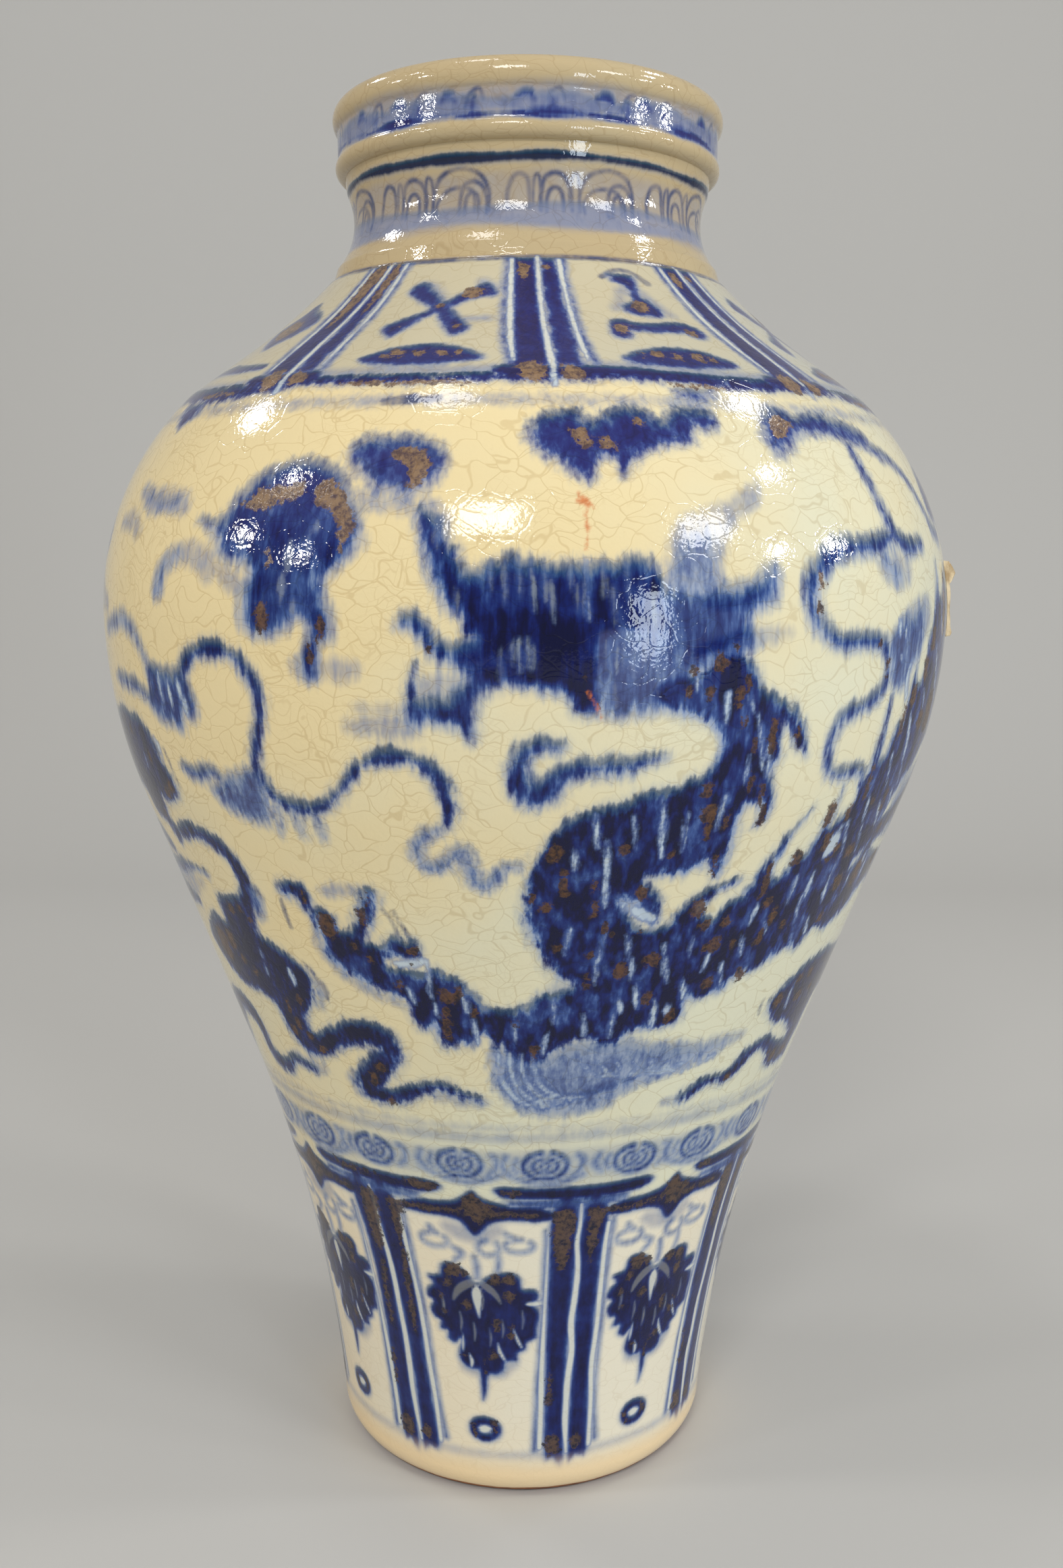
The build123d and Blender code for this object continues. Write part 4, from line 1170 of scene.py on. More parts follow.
def panel_scrolls():
    """Thin pale scrolls that hang above the leaf crest."""
    for centre, height, wide, tall in (
        (-9.6, 107.4, 3.2, 2.8), (3, 106.4, 2.4, 3.2), (9.8, 107.4, 3.2, 2.6),
    ):
        cobalt.stroke(
            *oval(centre, height, wide, tall, 0.5, np.linspace(0.9, 5.9, 9)), depth=0.5,
        )
    cobalt.stroke((-5.6, 105.6, 0.5), (-3.4, 103, 0.8), (-5, 100, 0.5), depth=0.5)
    cobalt.stroke((5, 104, 0.5), (5.2, 100, 0.6), (4.8, 96.6, 0.6), depth=0.5)
    cobalt.stroke((-0.4, 102, 0.6), (0, 98, 0.8), (0, 93.6, 0.8), depth=0.5)
    cobalt.stroke((-10.4, 113, 0.4), (-9.8, 111, 0.9), (-8.6, 110, 0.4), depth=0.5)
    cobalt.stroke((7, 112.6, 0.4), (8.6, 110.6, 0.8), (10.4, 110.2, 0.4), depth=0.5)
    wash.stroke((-6, 114, 2), (-3, 112, 3), (2, 111, 2.6), (5, 114, 2))


def ring():
    """Small dark ring with a white eye, near the foot of a panel."""
    cobalt.stroke(*oval(0, 28.2, 3.2, 3.6, 1.9, np.linspace(0, 6.29, 11)), depth=0.94)
    for at, height in ((-3.3, 28), (3.2, 28.6), (-2.6, 25.6), (2.6, 30.8)):
        rust.spot(at, height, 1.1, 2.0)
    bare.patch((-2, 28.6), (0, 30), (2, 28.6), (0.6, 26.8), (-1.2, 26.8))


dragon_head()
dragon_neck()
dragon_chest()
dragon_body()
dragon_behind()
dragon_foreleg()
left_leg()
right_leaf()
ribbons()
flaws()
clouds()
clouds_behind()
for number in range(9):
    at_turn(40.0 * number, shoulder_bars, number)
for centre, emblem in (
    (-16.6, cross), (23.6, tripod), (-56, lozenge), (64, cross), (104, lozenge), (144, tripod),
    (184, cross), (224, lozenge), (264, tripod),
):
    at_turn(centre, emblem)
    if emblem is not lozenge:
        at_turn(centre, long_leaf)
ridge_lines()
for number in range(8):
    at_turn(45.0 * number, lappets)
neck_haze()
mouth_band()
scroll_band()
for number in range(21):
    at_turn(360 / 21 * number + 4.6 + 1.2 * math.sin(number * 1.9), running_scroll, number)
for number in range(8):
    at_turn(45.0 * number, skirt_panel, number)
    at_turn(45.0 * number - 10.3, leaf_crest)
    at_turn(45.0 * number - 10.3, panel_scrolls)
    at_turn(45.0 * number - 10.4 + 0.4 * PANEL_SWAY[number], ring)
at = np.arange(-180, 181, 12.0)
wash.stroke(*zip(at, 17.6 + 0.3 * np.sin(np.radians(at * 3)), 1.2 + 0 * at), depth=0.7)

# ---------------------------------------------------------------- paint laid on the wall

along = np.linspace(-math.pi, math.pi, COLUMNS, endpoint=False)
columns = np.degrees(along - FRONT_CROWDING * np.sin(along))


def between(values, low, high):
    """Slice of the rising values from low to high."""
    return slice(*np.searchsorted(values, (low, high)))


def nearest(x, y, x0, y0, x1, y1):
    """Distance to a straight run, and how far along it the nearest point is (0 to 1)."""
    dx, dy = x1 - x0, y1 - y0
    share = np.clip(((x - x0) * dx + (y - y0) * dy) / (dx * dx + dy * dy + 1e-9), 0, 1)
    return np.hypot(x - x0 - share * dx, y - y0 - share * dy), share


def in_patch(turns, place, x, y, scale):
    """Distance into a filled shape on a grid of wall points, negative outside it.

    A point is inside where a level line from it crosses the edge an odd number of times.
    """
    near, inside = REACH, False
    for x0, y0, x1, y1 in zip(turns, place, turns[1:], place[1:]):
        gap, _ = nearest(x * scale, y, x0 * scale, y0, x1 * scale, y1)
        near = np.minimum(near, gap)
        if y0 != y1:
            crossing = (x1 - x0) * (y - y0) / (y1 - y0) + x0
            inside = inside ^ (((y0 > y) != (y1 > y)) & (x < crossing))
    return np.where(inside, near, -near)


def in_stroke(turns, place, wide, around, rows, cols, lengths, radii):
    """Distance into a brush stroke, found only near each of its runs.

    It is the half width there less the distance to the run, and the largest of them counts.
    """
    value = np.full((rows.stop - rows.start, cols.stop - cols.start), -REACH)
    for step in range(len(turns) - 1):
        x0, x1 = turns[step : step + 2]
        y0, y1 = place[step : step + 2]
        wide0, wide1 = wide[step : step + 2]
        edge = REACH + max(wide0, wide1)
        side = edge / around[step]
        part_rows = between(lengths, min(y0, y1) - edge, max(y0, y1) + edge)
        part_cols = between(columns, min(x0, x1) - side, max(x0, x1) + side)
        if part_rows.start >= part_rows.stop or part_cols.start >= part_cols.stop:
            continue
        scale = radii[part_rows, None] * math.pi / 180
        x, y = columns[None, part_cols], lengths[part_rows, None]
        gap, share = nearest(x * scale, y, x0 * scale, y0, x1 * scale, y1)
        window = value[
            part_rows.start - rows.start : part_rows.stop - rows.start,
            part_cols.start - cols.start : part_cols.stop - cols.start,
        ]
        np.maximum(window, wide0 + share * (wide1 - wide0) - gap, out=window)
    return value


def laid(paint, lengths, radii):
    """Field of one paint on a grid of wall points.

    The value is the distance in millimetres to the edge of the nearest mark, positive inside
    it, with turns measured round the wall and heights measured along it. The second array is
    how deep the paint is: a later mark takes over from an earlier one within 2.5 mm of its edge.
    """
    field = np.full((len(lengths), COLUMNS), -REACH)
    depth = np.full_like(field, 0.5)
    for path, closed, strength in paint.marks:
        run = np.concatenate([path, path[:1]]) if closed else path
        place = np.interp(run[:, 1], wall_height, wall_length)
        around = np.interp(run[:, 1], wall_height, wall_radius) * math.pi / 180
        spare = REACH + (0 if closed else run[:, 2].max())
        side = spare / around.min()
        rows = between(lengths, place.min() - spare, place.max() + spare)
        for full_turn in (-360, 0, 360):
            turns = run[:, 0] + full_turn
            cols = between(columns, turns.min() - side, turns.max() + side)
            if rows.start >= rows.stop or cols.start >= cols.stop:
                continue
            if closed:
                x, y = columns[None, cols], lengths[rows, None]
                value = in_patch(turns, place, x, y, radii[rows, None] * math.pi / 180)
            else:
                value = in_stroke(turns, place, run[:, 2], around, rows, cols, lengths, radii)
            window, deep = field[rows, cols], depth[rows, cols]
            over = np.clip((value + 0.5) / 3, 0, 1)
            over[(window < 0) & (value > window)] = 1
            deep += over * (strength - deep)
            np.maximum(window, value, out=window)
    return np.minimum(field, REACH), depth


def painted(outline):
    """Every paint's field on one stretch of outside wall, one row for each outline point."""
    heights = np.maximum.accumulate(outline[:, 1])
    lengths = np.interp(heights, wall_height, wall_length) + np.arange(len(heights)) * 1e-6
    fields = {}
    for paint in PAINTS:
        fields[paint.field], depth = laid(paint, lengths, outline[:, 0])
        if paint is cobalt:
            fields["depth"] = depth
            climb = np.gradient(fields["cobalt"], lengths, axis=0)
            fields["upper"] = np.clip(-climb, 0, 1)
        elif paint is wash:
            fields["pale"] = depth
        elif paint is bare:
            fields["bareness"] = depth
    return fields


# ---------------------------------------------------------------- turned sections


def turned(name, base, outside, rest):
    """Outline turned about the axis: (r sin a, -r cos a, z) for a column at turn a.

    outside is the painted run, and rest closes the section through its wall. With a base
    before them the outline runs from the axis to the axis, and a fan closes each of its ends.
    """
    profile = np.concatenate([base, outside, rest])
    poles = len(base) > 0
    turn = np.radians(columns)
    radius, height = profile[:, 0] * SNUG, profile[:, 1]
    points = np.stack(
        [
            radius[:, None] * np.sin(turn),
            -radius[:, None] * np.cos(turn),
            height[:, None] + 0 * turn,
        ],
        axis=2,
    )
    row_count = len(profile)
    grid = np.arange(row_count * COLUMNS).reshape(row_count, COLUMNS)
    lower, upper = (grid[:-1], grid[1:]) if poles else (grid, np.roll(grid, -1, 0))
    quads = np.stack([lower, np.roll(lower, -1, 1), np.roll(upper, -1, 1), upper], axis=2)
    vertices = points.reshape(-1, 3)
    corners, sizes = quads.reshape(-1), np.full(quads.size // 4, 4)
    if poles:
        tips = np.array([[0, 0, profile[0, 1]], [0, 0, profile[-1, 1]]])
        start, end = len(vertices), len(vertices) + 1
        vertices = np.concatenate([vertices, tips])
        under = np.stack([np.full(COLUMNS, start), np.roll(grid[0], -1), grid[0]], axis=1)
        over = np.stack([grid[-1], np.roll(grid[-1], -1), np.full(COLUMNS, end)], axis=1)
        corners = np.concatenate([corners, under.reshape(-1), over.reshape(-1)])
        sizes = np.concatenate([sizes, np.full(2 * COLUMNS, 3)])
    mesh = bpy.data.meshes.new(name)
    mesh.vertices.add(len(vertices))
    mesh.vertices.foreach_set("co", (vertices * 0.001).reshape(-1))
    mesh.loops.add(len(corners))
    mesh.loops.foreach_set("vertex_index", corners)
    mesh.polygons.add(len(sizes))
    mesh.polygons.foreach_set("loop_start", np.concatenate([[0], np.cumsum(sizes)[:-1]]))
    mesh.update(calc_edges=True)
    mesh.set_sharp_from_angle(angle=math.radians(48))
    begin = len(base) * COLUMNS
    for field, values in painted(outside).items():
        flat = np.full(len(vertices), -REACH if field != "upper" else 0.0)
        flat[begin : begin + values.size] = values.reshape(-1)
        mesh.attributes.new(field, "FLOAT", "POINT").data.foreach_set("value", flat)
    piece = bpy.data.objects.new(name, mesh)
    bpy.context.scene.collection.objects.link(piece)
    return piece


# Wall thickness, and places on the plain inside as (radius, height)
WALL = 6.5
BASE_CENTRE = (1.5, 6)
RECESS_EDGE = (55, 6)
FLOOR_EDGE = (51.4, 15)
FLOOR_CENTRE = (1.5, 15)
CORNER = (63.4, 27)
INNER_FLARE = (101.6, 166.8)
INNER_SWELL = (144.6, 285)
INNER_BELLY = (148, 321.5)
INNER_HOLLOW = (87.6, 412.4)
SHOULDER_BORE = (59, 437)
NECK_BORE_FOOT = (57, 437)
NECK_BORE_TOP = (57, 470)
THROAT = (57.6, 470)
DISH_FLOOR = ((62, 480), (57.6, 471))


def inner(outside_point, tangent):
    """Point one wall in from the outside, square to the outline."""
    t = np.array(tangent, float) / np.linalg.norm(tangent)
    return np.array(outside_point) + WALL * np.array([-t[1], t[0]])


split_point = tuple(flare[split])
split_inner = (split_point[0] - 7.4, split_point[1])
waist_inner = tuple(inner(WAIST, (FLARE_SLOPE, 1.0)))
ridge_inner = tuple(inner(RIDGE, (-0.7191, 0.6950)))

# Only the skirt has a base, which runs from the axis to the start of its outside
skirt_base = chain(BASE_CENTRE, (RECESS_EDGE, 8), (BORE_EDGE, 1.6))[:-1]
no_base = np.empty((0, 2))

# The rest of each section's outline, from the end of its outside back to the start
skirt_rest = joined(
    chain(split_point, (split_inner, 2), (CORNER, 6)),
    through(CORNER, (59.9, 18.5), FLOOR_EDGE, 1.5),
    line(FLOOR_EDGE, FLOOR_CENTRE, 8),
)[1:]
flare_rest = chain(
    WAIST, (waist_inner, 2), (INNER_FLARE, 6), (split_inner, 6), (split_point, 2)
)[1:-1]
belly_rest = joined(
    line(RIDGE, ridge_inner, 2),
    leaving(INNER_BELLY, (0, 1), ridge_inner, 8)[::-1],
    chain(INNER_BELLY, (INNER_SWELL, 9), (waist_inner, 9), (WAIST, 2)),
)[1:-1]
shoulder_rest = chain(
    SHOULDER_TOP, (SHOULDER_BORE, 2.5), (INNER_HOLLOW, 4), (ridge_inner, 4), (RIDGE, 2)
)[1:-1]
neck_rest = chain(
    NECK_TOP, (NECK_BORE_TOP, 2.5), (NECK_BORE_FOOT, 4), (COLLAR_FOOT, 3)
)[1:-1]
mouth_rest = chain(
    DISH_EDGE, (DISH_FLOOR[0], 1.5), (DISH_FLOOR[1], 1.5), (THROAT, 1.5), (NECK_TOP, 2.5)
)[1:-1]

# ---------------------------------------------------------------- shader helpers


class Value:
    """Number in a shader tree. Arithmetic on it adds Math nodes."""

    def __init__(self, tree, socket):
        self.tree = tree
        self.socket = socket

    def maths(self, operation, first, second):
        node = place(self.tree, "ShaderNodeMath", {0: first, 1: second}, operation=operation)
        return Value(self.tree, node.outputs[0])

    def __add__(self, other):
        return self.maths("ADD", self, other)

    def __sub__(self, other):
        return self.maths("SUBTRACT", self, other)

    def __mul__(self, other):
        return self.maths("MULTIPLY", self, other)

    def __rtruediv__(self, other):
        return self.maths("DIVIDE", other, self)

    def at_least(self, other):
        return self.maths("MAXIMUM", self, other)

    def at_most(self, other):
        return self.maths("MINIMUM", self, other)


def feed(tree, value, socket):
    """Set a socket to a constant, or link it to a value or to another node's socket."""
    source = value.socket if isinstance(value, Value) else value
    if isinstance(source, bpy.types.NodeSocket):
        tree.links.new(source, socket)
    else:
        socket.default_value = source


def place(tree, kind, inputs=(), **settings):
    """New shader node with its settings, and inputs set or linked by name or position."""
    node = tree.nodes.new(kind)
    for key, value in settings.items():
        setattr(node, key, value)
    for key, value in dict(inputs).items():
        feed(tree, value, node.inputs[key])
    return node


def ramp(value, low, high, to_low=0.0, to_high=1.0):
    """Smooth step of a value from low to high."""
    node = place(
        value.tree, "ShaderNodeMapRange", {0: value, 1: low, 2: high, 3: to_low, 4: to_high},
        interpolation_type="SMOOTHSTEP",
    )
    return Value(value.tree, node.outputs[0])


def mixed(share, first, second, **settings):
    """Colour between first and second."""
    inputs = {0: share, 6: first, 7: second}
    return place(share.tree, "ShaderNodeMix", inputs, data_type="RGBA", **settings).outputs[2]


def noise(tree, where, size, detail=2.0, roughness=0.5):
    """Noise with features of about size millimetres, centred on zero."""
    node = place(
        tree, "ShaderNodeTexNoise",
        {"Vector": where, "Scale": 1000.0 / size, "Detail": detail, "Roughness": roughness},
    )
    return Value(tree, node.outputs[0]) - 0.5


def object_place(tree):
    """Place on the object, in metres."""
    return place(tree, "ShaderNodeTexCoord").outputs["Object"]


def colour(red, green, blue):
    """Linear colour of an sRGB one given from 0 to 255."""
    def linear(value):
        share = value / 255
        return share / 12.92 if share <= 0.04045 else ((share + 0.055) / 1.055) ** 2.4
    return (linear(red), linear(green), linear(blue), 1.0)


def new_group(name, inputs, outputs):
    """Empty node group, its inputs as a function of their names, and its output node."""
    group = bpy.data.node_groups.new(name, "ShaderNodeTree")
    for label, default in inputs.items():
        kind = "NodeSocketColor" if isinstance(default, tuple) else "NodeSocketFloat"
        socket = group.interface.new_socket(label, in_out="INPUT", socket_type=kind)
        socket.default_value = default
    for label, kind in outputs.items():
        group.interface.new_socket(label, in_out="OUTPUT", socket_type=kind)
    sockets = group.nodes.new("NodeGroupInput").outputs

    def given(label):
        return Value(group, sockets[label])

    return group, given, group.nodes.new("NodeGroupOutput")


def new_material(name):
    """Node material with its tree and its one shader."""
    material = bpy.data.materials.new(name)
    material.use_nodes = True
    return material, material.node_tree, material.node_tree.nodes["Principled BSDF"]


# ---------------------------------------------------------------- glaze and painting


def crackle_group():
    """Crackle of a thick glaze: cell edges of two sizes, wandering and fading in places.

    Cell is the width of a large cell in millimetres. Cells are flatter than they are wide.
    """
    group, given, result = new_group(
        "glaze_crackle",
        {"Cell": 7.0, "Strength": 1.0},
        {"Lines": "NodeSocketFloat", "Relief": "NodeSocketFloat"},
    )

    def vector(operation, first, second):
        inputs = {0: first, 1: second}
        return place(group, "ShaderNodeVectorMath", inputs, operation=operation).outputs[0]

    where = object_place(group)
    wander = place(group, "ShaderNodeTexNoise", {"Vector": where, "Scale": 75.0, "Detail": 1.5})
    shift = vector("SUBTRACT", wander.outputs["Color"], (0.5, 0.5, 0.5))
    shift = vector("MULTIPLY", shift, (0.016, 0.016, 0.016))
    flat = vector("MULTIPLY", vector("ADD", where, shift), (1.0, 1.0, 1.75))

    def to_cell_edge(scale):
        node = place(group, "ShaderNodeTexVoronoi", {"Vector": flat, "Scale": scale},
                     feature="DISTANCE_TO_EDGE")
        return Value(group, node.outputs["Distance"])

    scale = 1000.0 / given("Cell")
    large, fine = to_cell_edge(scale), to_cell_edge(scale * 1.9)
    fading = noise(group, where, 26, 2)
    fine_line = ramp(fine, 0.012, 0.06, 1.0, 0.0) * ramp(fading, -0.02, 0.12)
    large_line = ramp(large, 0.008, 0.042, 1.0, 0.0) * ramp(fading, -0.3, 0.05, 0.55, 1.0)
    lines = large_line.at_least(fine_line * 0.6)
    feed(group, lines * given("Strength"), result.inputs["Lines"])
    feed(group, ramp(large, 0.0, 0.09) * given("Strength"), result.inputs["Relief"])
    return group


def painting_group():
    """Cobalt, wash, line work, rust and bare glaze, from the wall's painted fields.

    Each field is a distance to the edge of the brushwork. Noise drawn out upright moves that
    edge, as cobalt runs in a melting glaze, and a smooth step turns it into a soft edge.
    """
    group, given, result = new_group(
        "cobalt_painting",
        {"Glaze": (1, 1, 1, 1), "Run": 1.0, "Crispness": 1.0},
        {"Color": "NodeSocketColor", "Rust": "NodeSocketFloat"},
    )

    def field(name):
        return Value(group, place(group, "ShaderNodeAttribute", attribute_name=name).outputs["Fac"])

    def drawn_out(upright_scale):
        inputs = {"Vector": where, "Scale": (1.0, 1.0, upright_scale)}
        return place(group, "ShaderNodeMapping", inputs).outputs[0]

    where = object_place(group)
    height = Value(group, place(group, "ShaderNodeSeparateXYZ", {0: where}).outputs[2])
    wobble = noise(group, where, 8, 3)
    streaks = noise(group, drawn_out(0.18), 1.7, 3, 0.55)
    broad_streaks = noise(group, drawn_out(0.18), 5.0, 2)
    grain = noise(group, where, 1.4, 2, 0.6)
    blotch = noise(group, where, 6.0, 3, 0.55)
    run, crispness = given("Run"), given("Crispness")

    def ragged(source, wobbling, streaking, graining):
        """Field with its edge moved by the noises."""
        small = broad_streaks * (streaking * 0.95) + grain * graining
        return source + (wobble * wobbling + streaks * streaking + small) * run

    # Pale wash, thinner and thicker in upright streaks
    cover = ramp(ragged(field("wash"), 2.6, 2.6, 0.8), -2.8, 2.0)
    body = ramp((streaks + broad_streaks) * run + blotch, -0.4, 0.4, 0.5, 1.0)
    cover = cover * body * field("pale").at_least(0.0)
    wash_colour = mixed(ramp(blotch, -0.2, 0.25), colour(88, 106, 152), colour(128, 144, 176))
    base = mixed(cover * 0.84, given("Glaze"), wash_colour)

    # Thin grey-blue line work
    thin = ramp(ragged(field("line"), 0.8, 0.8, 0.7), -1.0, 0.5)
    faded = ramp(broad_streaks + blotch, -0.25, 0.25, 0.5, 0.92)
    base = mixed(thin * faded, base, colour(62, 74, 112))

    # Pale bleed round the cobalt
    depth = field("depth").at_least(0.0)
    edge = ragged(field("cobalt"), 2.0, 4.2, 1.2) * crispness
    bleed = ramp(edge, -4.2, 0.0, 0.0, 0.36) * ramp(depth, 0.2, 0.8, 0.5, 1.0)
    base = mixed(bleed, base, colour(126, 144, 170))

    # Cobalt from thin to thick: pale, mid and deep blue, and near black cores
    edge = edge * ramp(depth, 0.55, 0.95, 0.55, 1.0)
    streaky = streaks * 0.75 + broad_streaks * 0.6
    variation = blotch * 0.5 + streaky * (run * 0.7 + 0.3)

    # Scales on the dragon: tall dark blotches with thinner, lighter paint between them
    scales = noise(group, drawn_out(0.42), 5.4, 2, 0.45)
    between = ramp(scales, -0.14, 0.12, 0.44, -0.04) * ramp(depth, 0.95, 0.99)
    thickness = ramp(edge, -2.2, 4.2) * depth.at_most(0.96) + variation - between
    tones = place(group, "ShaderNodeValToRGB", {0: thickness})
    stops = tones.color_ramp.elements
    stops[0].position, stops[0].color = 0.05, colour(142, 158, 188)
    stops[1].position, stops[1].color = 1.0, colour(3, 8, 50)
    for position, shade in (
        (0.2, colour(102, 125, 168)), (0.36, colour(58, 85, 144)), (0.54, colour(27, 50, 113)),
        (0.72, colour(11, 28, 94)), (0.88, colour(5, 12, 64)),
    ):
        stops.new(position).color = shade

    # Purplish high on the pot and nearly black under the mouth
    high = ramp(height, 0.338, 0.366, 0.0, 0.34)
    blue = mixed(high, tones.outputs["Color"], colour(66, 62, 122))
    under_mouth = ramp(height, 0.464, 0.467) * ramp(height, 0.474, 0.476, 0.8, 0.0)
    blue = mixed(under_mouth, blue, colour(10, 28, 52))
    cover = ramp(edge, -2.0, 1.5) * ramp(depth, 0.0, 0.6, 0.6, 1.0)
    base = mixed(cover, base, blue)

    # Greenish dark rim where a mark's upper edge meets the glaze
    rim = field("upper") * ramp(edge, -1.8, 0.0) * ramp(edge, 0.5, 3.4, 1.0, 0.0)
    base = mixed(rim * ramp(depth, 0.35, 0.9, 0.15, 0.75), base, colour(22, 60, 84))

    # Bare glaze left between strokes, bluish where the cobalt bleeds into it
    edge = ragged(field("reserve"), 1.8, 2.6, 1.0) * crispness
    on_body = ramp(height, 0.135, 0.155) * ramp(height, 0.390, 0.400, 1.0, 0.0)
    bare_core = mixed(on_body, colour(212, 214, 204), colour(192, 206, 216))
    bare_colour = mixed(ramp(edge, -0.6, 1.2), colour(88, 114, 168), bare_core)
    base = mixed(ramp(edge, -1.3, 0.7, 0.0, 0.95) * field("bareness"), base, bare_colour)

    # Rust stains where the pigment lies thickest, tan high on the pot and brown lower down
    flecks = noise(group, where, 2.6, 5, 0.68)
    stain = ramp(field("rust") + flecks * 9.0, -0.1, 0.9)
    shade = ramp(flecks + grain * 0.5, -0.12, 0.2)
    tan = mixed(shade, colour(146, 118, 84), colour(84, 66, 62))
    brown = mixed(shade, colour(98, 68, 40), colour(38, 28, 34))
    grey_brown = mixed(shade, colour(92, 72, 56), colour(26, 26, 42))
    stain_colour = mixed(ramp(height, 0.318, 0.345), brown, tan)
    stain_colour = mixed(ramp(height, 0.130, 0.160), grey_brown, stain_colour)
    base = mixed(stain * 0.9, base, stain_colour)

    # Orange flaws where iron has burst through the glaze
    burst = ramp(field("scorch") + flecks * 3.0, -0.9, 0.7, 0.0, 0.85)
    base = mixed(burst, base, colour(206, 112, 56))

    feed(group, base, result.inputs["Color"])
    feed(group, stain, result.inputs["Rust"])
    return group


crackle = crackle_group()
painting = painting_group()


def glazed_finish(name, warm, cool, cell, crackled, run, crispness, bare_clay=False):
    """Glossy crackled glaze over the painting, with bare clay under the foot where asked.

    The glaze goes from warm to cool across the vase, a painted tint of warm light from the left
    and cooler light from the right. cell is the width of a crackle cell in millimetres,
    crackled its strength, run how far the cobalt has run.
    """
    material, tree, shader = new_material(name)
    where = object_place(tree)
    axes = place(tree, "ShaderNodeSeparateXYZ", {0: where}).outputs
    across, height = Value(tree, axes[0]), Value(tree, axes[2])

    # Warm to the left and high up, cooler to the right and low down. From left to right this is
    # painted light, warm from the left and cooler from the right; the noise is random tone
    light_and_tone_cast = across * 3.4 + noise(tree, where, 70, 3) * 1.3
    light_and_tone_cast = light_and_tone_cast + ramp(height, 0.16, 0.40, 0.24, -0.30)
    glaze = mixed(ramp(light_and_tone_cast, -0.42, 0.48), warm, cool)
    freckle = ramp(noise(tree, where, 2.4, 4, 0.6), 0.12, 0.3, 0.0, 0.16)
    glaze = mixed(freckle, glaze, colour(186, 160, 118))

    # The borders under this height are painted crisply, with little run
    paint = place(tree, "ShaderNodeGroup", {
        "Glaze": glaze,
        "Run": ramp(height, 0.147, 0.160, min(run, 0.15), run),
        "Crispness": ramp(height, 0.147, 0.160, max(crispness, 1.7), crispness),
    }, node_tree=painting)
    stain = Value(tree, paint.outputs["Rust"])
    lines = place(tree, "ShaderNodeGroup", {"Cell": cell, "Strength": crackled}, node_tree=crackle)
    surface = mixed(Value(tree, lines.outputs["Lines"]) * 0.36, paint.outputs["Color"],
                    colour(208, 192, 166), blend_type="MULTIPLY")
    rough = ramp(noise(tree, where, 3.0, 3), -0.25, 0.25, 0.03, 0.07) + stain * 0.16

    if bare_clay:
        foot = height + noise(tree, where, 12, 3) * 0.0016
        toasted = ramp(foot, 0.009, 0.019, 0.75, 0.0)
        surface = mixed(toasted, surface, colour(238, 208, 158))
        clay = ramp(foot, 0.0022, 0.0031, 1.0, 0.0)
        fired = mixed(ramp(noise(tree, where, 5, 5, 0.65), -0.2, 0.2),
                      colour(168, 108, 62), colour(120, 74, 46))
        surface = mixed(clay, surface, fired)
        rough = rough + clay * 0.62

    # Orange peel, a slow ripple, pinholes, sunk crackle and pitted stains
    relief = noise(tree, where, 3.0, 2) * 0.42 + noise(tree, where, 24, 1) * 0.7
    relief = relief + noise(tree, where, 1.1, 1) * 0.34
    relief = relief + Value(tree, lines.outputs["Relief"]) * 0.16
    relief = relief + stain * noise(tree, where, 1.1, 3) * 0.5
    bump = place(tree, "ShaderNodeBump", {"Strength": 0.4, "Distance": 0.00035, "Height": relief})
    feed(tree, surface, shader.inputs["Base Color"])
    feed(tree, rough, shader.inputs["Roughness"])
    feed(tree, bump.outputs[0], shader.inputs["Normal"])
    shader.inputs["IOR"].default_value = 1.43
    return material


body_glaze = glazed_finish(
    "crackled_body_glaze", colour(231, 212, 164), colour(219, 218, 193), 9.5, 1.0, 1.0, 1.05,
)
# Shoulder glaze: a darker, greyer copy of the body glaze, which paints shade on the upturned
# shoulder
shaded_shoulder_glaze = glazed_finish(
    "crackled_shoulder_glaze_painted_shade", colour(199, 189, 160), colour(193, 195, 182), 9.0, 0.8, 0.4, 1.7,
)
skirt_glaze = glazed_finish(
    "pale_skirt_glaze", colour(236, 218, 182), colour(232, 225, 204), 9.0, 0.45, 0.15, 1.7,
    bare_clay=True,
)
# Neck and mouth glaze: darker than the body glaze, which paints shade on the neck, flange and lip
shaded_neck_glaze = glazed_finish(
    "pinkish_neck_glaze_painted_shade", colour(190, 170, 132), colour(186, 175, 144), 8.0, 0.8, 0.18, 2.4,
)

# The six glazed pieces, each with its outline, its finish and the solids it stands for
for name, outline, finish, nodes in (
    ("glazed_skirt", (skirt_base, skirt_outside, skirt_rest), skirt_glaze, ["lower_body"]),
    ("glazed_flare", (no_base, flare_outside, flare_rest), body_glaze, ["lower_body"]),
    ("glazed_belly", (no_base, belly_outside, belly_rest), body_glaze,
     ["upper_body", "waist_slip"]),
    ("glazed_shoulder", (no_base, shoulder_outside, shoulder_rest), shaded_shoulder_glaze,
     ["shoulder", "ridge_slip"]),
    ("glazed_neck", (no_base, neck_outside, neck_rest), shaded_neck_glaze, ["neck", "neck_slip"]),
    ("glazed_mouth", (no_base, mouth_outside, mouth_rest), shaded_neck_glaze, ["mouth", "mouth_slip"]),
):
    piece = turned(name, *outline)
    piece.data.materials.append(finish)
    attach(piece, "root")
    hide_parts(*nodes)

# ---------------------------------------------------------------- paper label


def smooth_piece(name, points, faces):
    """New smooth object from its points and faces."""
    mesh = bpy.data.meshes.new(name)
    mesh.from_pydata(points, [], faces)
    mesh.polygons.foreach_set("use_smooth", np.ones(len(faces), bool))
    mesh.update()
    piece = bpy.data.objects.new(name, mesh)
    bpy.context.scene.collection.objects.link(piece)
    return piece


